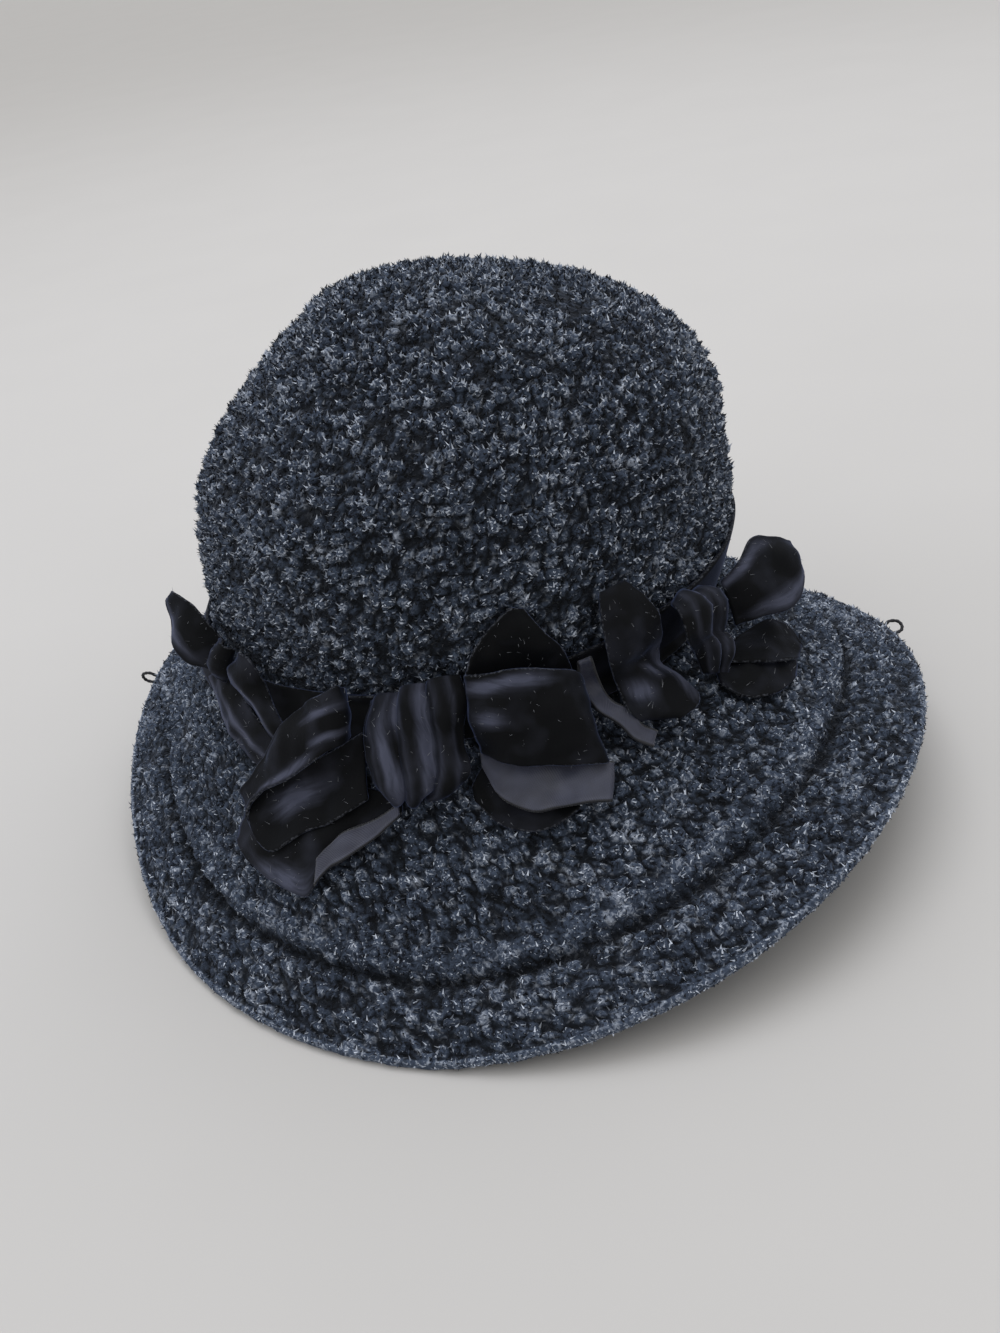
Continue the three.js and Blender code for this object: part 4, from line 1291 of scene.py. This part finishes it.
def ribbon_pieces(context, names):
    """Makes ribbons, each a sheet that rests on the knit, with lint on the velvet ones."""
    sizes = context.scene.cloche_ribbon
    for name in names:
        seed = 1 + list(RIBBONS).index(name)
        piece, cut = ribbon_piece("ribbon_" + name, RIBBONS[name], sizes, seed)
        slot = "satin" if RIBBONS[name].get("satin") else "velvet"
        finish_piece(piece, slot, name)
        if slot == "velvet":
            lint = pile_tree(material_of(cotton_lint, sizes))
            values = {**LINT, "Seed": seed}
            finish_piece(made_by_tree("lint_" + name, piece, lint, values), "velvet")


def there_and_back(values):
    """The band's values for its outer face and its inner one."""
    return np.concatenate([values, values[:, ::-1]], axis=1).ravel()


def band_piece(sizes):
    """The flat stretch of ribbon that goes right round the crown."""
    turns = full_turns(BAND_COLUMNS["round"])[:, None]
    across = np.linspace(0, 1, BAND_COLUMNS["across"])
    side = np.sin(np.radians(turns))
    top = RIBBON_BAND["top"] + RIBBON_BAND["top_tilt"] * side
    foot = RIBBON_BAND["foot"] + RIBBON_BAND["foot_tilt"] * side
    down = top + (foot - top) * across
    grid = on_hat(turns + 0 * down, down, RIBBON_BAND["off"] + 0 * down)
    away = unit(np.cross(np.roll(grid, -1, 0) - np.roll(grid, 1, 0), np.gradient(grid, axis=1)))
    if (away * (grid - CROWN_FOOT)).sum() < 0:
        away = -away
    grid = grid + away * (0.45 * soft_noise(grid, 16, 31))[..., None]
    half = sizes.thick / MM / 2
    outer, inner = grid + away * half, grid - away * half
    section = np.concatenate([outer, inner[:, ::-1]], axis=1)
    around = section.shape[1]
    faces = ring_faces(len(turns), around, True)
    spans = np.linalg.norm(np.diff(grid, axis=1), axis=-1)
    from_a = np.concatenate([np.zeros((len(turns), 1)), np.cumsum(spans, axis=1)], axis=1)
    from_edge = np.minimum(from_a, from_a[:, -1:] - from_a)
    half_way = len(across)
    sides = [int(min(face[0] % around, face[1] % around) >= half_way) for face in faces]
    piece = new_piece(
        "ribbon_round_crown",
        section.reshape(-1, 3),
        faces,
        [material_of(velvet, sizes), material_of(satin, sizes)],
        sides,
        {
            "from_edge": there_and_back(from_edge),
            "across": there_and_back(from_a),
            "along": there_and_back(turns * 1.6 + 0 * from_a),
            "painted_highlight": there_and_back(0 * from_a),
        },
    )
    make_outward(piece)
    length = ring_lengths(grid.transpose(1, 0, 2)).mean()
    return piece, (from_a[:, -1].mean() * MM, length * MM)


# ---- Cord loops -------------------------------------------------------------------------


CORD = {"radius": 0.62, "sides": 12, "twist": 3.2}  # mm, and turns in radians a mm


def tube(track, radius, sides, twist):
    """Closed tube of twisted strands along a track of points in mm."""
    along = unit(np.gradient(track, axis=0))
    up = np.array([0.31, 0.22, 0.92])
    side = unit(np.cross(along, up))
    lift = np.cross(side, along)
    angle = np.linspace(0, 2 * np.pi, sides, endpoint=False)
    gone = np.concatenate([[0], np.cumsum(np.linalg.norm(np.diff(track, axis=0), axis=-1))])
    ridge = 1 + 0.14 * np.cos(2 * angle[None, :] + twist * gone[:, None])
    go, rise = np.cos(angle)[None, :, None], np.sin(angle)[None, :, None]
    ring = side[:, None] * go + lift[:, None] * rise
    points = track[:, None] + ring * (radius * ridge)[..., None]
    faces = ring_faces(len(track), sides, False)
    faces.append(list(range(sides))[::-1])
    faces.append([(len(track) - 1) * sides + j for j in range(sides)])
    return points.reshape(-1, 3), faces


def loop_piece(loop, chenille, ribbon):
    """One small cord loop on the brim's edge."""
    edge = brim_edge(loop["turn"])
    out = unit(edge * [1, 1, 0])
    round_ = np.array([-out[1], out[0], 0])
    twist = math.radians(loop["twist"])
    side = round_ * math.cos(twist) + np.array([0, 0, math.sin(twist)])
    half_wall = chenille.wall / MM / 2
    root = edge + out * (half_wall - 0.6) - np.array([0, 0, half_wall])
    place = np.linspace(0, len(LOOP_OUTLINE) - 1, 61)
    go = along_rows([point["out"] for point in LOOP_OUTLINE], place)[:, None]
    apart = along_rows([point["side"] for point in LOOP_OUTLINE], place)[:, None]
    points, faces = tube(root + out * go + side * apart, **CORD)
    piece = new_piece("cord_" + loop["name"], points, faces, [material_of(twisted_cord, ribbon)])
    make_outward(piece)
    return piece


# ---- Operators --------------------------------------------------------------------------


class CLOCHE_OT_stage(bpy.types.Operator):
    """Adds the camera, the pale floor and the soft lights"""

    bl_idname = "cloche.stage"
    bl_label = "Stage"

    def execute(self, context):
        studio = context.scene.cloche_studio
        add_camera(context, studio)
        add_floor(studio)
        add_lights(context, studio)
        return {"FINISHED"}


CAMERA_AIM = np.array([-3.0, 0.0, 35.5])


def add_camera(context, studio):
    """Camera that looks down at the front of the hat."""
    target = (CAMERA_AIM + TO_MIDDLE) * MM
    rise = studio.elevation
    back = np.array([0, -math.cos(rise), math.sin(rise)])
    right = unit(np.cross([0, 0, 1.0], back))
    up = np.cross(back, right)
    c, s = math.cos(studio.roll), math.sin(studio.roll)
    turned_right = c * right + s * up
    turned_up = -s * right + c * up
    data = bpy.data.cameras.new("camera")
    data.sensor_fit = "VERTICAL"
    data.sensor_height = 36
    data.lens = studio.lens
    data.clip_start = 0.02
    camera = bpy.data.objects.new("camera", data)
    place = Matrix(np.stack([turned_right, turned_up, back], axis=1).tolist()).to_4x4()
    place.translation = Vector(target + back * studio.distance)
    camera.matrix_world = place
    context.scene.collection.objects.link(camera)
    context.scene.camera = camera


FLOOR_REACH = 20000.0  # mm from the hat to each side of the floor


def add_floor(studio):
    """Matt painted floor: pale, with a faint mottle."""
    material, tree = new_material("Plaster floor, matt")
    place = add_node(tree, "ShaderNodeTexCoord", out="Object")
    uneven = add_node(tree, "ShaderNodeTexNoise", {"Vector": place, "Scale": 9.0, "Detail": 2.0})
    floor = linear(studio.floor)
    darker = [shade * 0.96 for shade in floor[:3]] + [1]
    colour = add_node(tree, "ShaderNodeMix", {0: uneven, 6: darker, 7: floor}, 2, data_type="RGBA")
    links = {"Base Color": colour, "Roughness": 0.9}
    shader = add_node(tree, "ShaderNodeBsdfPrincipled", links)
    add_node(tree, "ShaderNodeOutputMaterial", {"Surface": shader})
    corners = np.array([[-1, -1, 0], [1, -1, 0], [1, 1, 0], [-1, 1, 0]]) * FLOOR_REACH
    floor_piece = new_piece("floor", corners, [[0, 1, 2, 3]], [material])


def add_light(context, name, place, aim, size, power, colour):
    """Square soft light at a place, turned toward a point, in metres."""
    data = bpy.data.lights.new(name, "AREA")
    data.size = size
    data.energy = power
    data.color = linear(colour)[:3]
    light = bpy.data.objects.new(name, data)
    light.matrix_world = Matrix.Translation(place) @ (
        Vector(aim) - Vector(place)
    ).to_track_quat("-Z", "Y").to_matrix().to_4x4()
    context.scene.collection.objects.link(light)


def add_lights(context, studio):
    """Large cool light overhead, a smaller one at the left, and even light all round."""
    add_light(context, "overhead", (0.2, 0.7, 1.9), (0, 0, 0), 1.8, studio.key, "#eef3ff")
    add_light(context, "left", (-1.3, 0.1, 0.6), (0, 0, 0.08), 0.7, studio.side, "#e6eeff")
    world = bpy.data.worlds.new("even light")
    world.use_nodes = True
    tree = world.node_tree
    background = tree.nodes["Background"]
    background.inputs[0].default_value = linear("#f4f5f8")
    way = add_node(tree, "ShaderNodeTexCoord", out="Generated")
    height = add_node(tree, "ShaderNodeSeparateXYZ", {0: way}, "Z")
    links = {0: height, 1: 0.0, 2: 1.0, 3: studio.horizon, 4: studio.sky}
    strength = add_node(tree, "ShaderNodeMapRange", links)
    tree.links.new(strength, background.inputs[1])
    context.scene.world = world
    context.scene.view_settings.view_transform = "Standard"


class CLOCHE_OT_crown(bpy.types.Operator):
    """Adds the knitted crown and its pile"""

    bl_idname = "cloche.crown"
    bl_label = "Crown"

    def execute(self, context):
        sizes = context.scene.cloche_chenille
        crown = finish_piece(crown_piece(sizes), "yarn", "crown")
        pile_on(crown, "crown_pile", sizes, 11)
        return {"FINISHED"}


class CLOCHE_OT_brim(bpy.types.Operator):
    """Adds the knitted brim and its pile"""

    bl_idname = "cloche.brim"
    bl_label = "Brim"

    def execute(self, context):
        sizes = context.scene.cloche_chenille
        brim = finish_piece(brim_piece(sizes), "yarn", "brim")
        pile_on(brim, "brim_pile", sizes, 21)
        return {"FINISHED"}


class CLOCHE_OT_ribbon_band(bpy.types.Operator):
    """Adds the ribbon round the foot of the crown"""

    bl_idname = "cloche.ribbon_band"
    bl_label = "Ribbon round the crown"

    def execute(self, context):
        piece, cut = band_piece(context.scene.cloche_ribbon)
        finish_piece(piece, "velvet", "ribbon_band")
        return {"FINISHED"}


class CLOCHE_OT_left_bow(bpy.types.Operator):
    """Adds the bow at the left and its swags"""

    bl_idname = "cloche.left_bow"
    bl_label = "Left bow"

    def execute(self, context):
        ribbon_pieces(context, [name for name in RIBBONS if name.startswith("left_")])
        return {"FINISHED"}


class CLOCHE_OT_front_bow(bpy.types.Operator):
    """Adds the bow at the front"""

    bl_idname = "cloche.front_bow"
    bl_label = "Front bow"

    def execute(self, context):
        ribbon_pieces(context, [name for name in RIBBONS if name.startswith("front_")])
        return {"FINISHED"}


class CLOCHE_OT_right_bow(bpy.types.Operator):
    """Adds the bow at the right"""

    bl_idname = "cloche.right_bow"
    bl_label = "Right bow"

    def execute(self, context):
        ribbon_pieces(context, [name for name in RIBBONS if name.startswith("right_")])
        return {"FINISHED"}


class CLOCHE_OT_edge_loops(bpy.types.Operator):
    """Adds the two small cord loops at the brim's edge"""

    bl_idname = "cloche.edge_loops"
    bl_label = "Edge loops"

    def execute(self, context):
        scene = context.scene
        for loop in EDGE_LOOPS:
            piece = loop_piece(loop, scene.cloche_chenille, scene.cloche_ribbon)
            finish_piece(piece, "cord", loop["name"])
        return {"FINISHED"}


OPERATORS = (
    CLOCHE_OT_stage,
    CLOCHE_OT_crown,
    CLOCHE_OT_brim,
    CLOCHE_OT_ribbon_band,
    CLOCHE_OT_left_bow,
    CLOCHE_OT_front_bow,
    CLOCHE_OT_right_bow,
    CLOCHE_OT_edge_loops,
)
SETTINGS = {
    "cloche_chenille": ChenilleSettings,
    "cloche_ribbon": RibbonSettings,
    "cloche_studio": StudioSettings,
}


class CLOCHE_PT_panel(bpy.types.Panel):
    """Buttons that build the hat piece by piece"""

    bl_idname = "CLOCHE_PT_panel"
    bl_label = "Cloche hat"
    bl_space_type = "VIEW_3D"
    bl_region_type = "UI"
    bl_category = "Cloche hat"

    def draw(self, context):
        for operator in OPERATORS:
            self.layout.operator(operator.bl_idname)
        for name, group in SETTINGS.items():
            box = self.layout.box()
            for key in group.__annotations__:
                box.prop(getattr(context.scene, name), key)


def register():
    for cls in (*SETTINGS.values(), *OPERATORS, CLOCHE_PT_panel):
        bpy.utils.register_class(cls)
    for name, group in SETTINGS.items():
        setattr(bpy.types.Scene, name, bpy.props.PointerProperty(type=group))


def unregister():
    for name in SETTINGS:
        delattr(bpy.types.Scene, name)
    for cls in reversed((*SETTINGS.values(), *OPERATORS, CLOCHE_PT_panel)):
        bpy.utils.unregister_class(cls)


def main():
    """Builds the whole hat."""
    register()
    for operator in OPERATORS:
        family, name = operator.bl_idname.split(".")
        getattr(getattr(bpy.ops, family), name)()


if __name__ == "__main__":
    main()
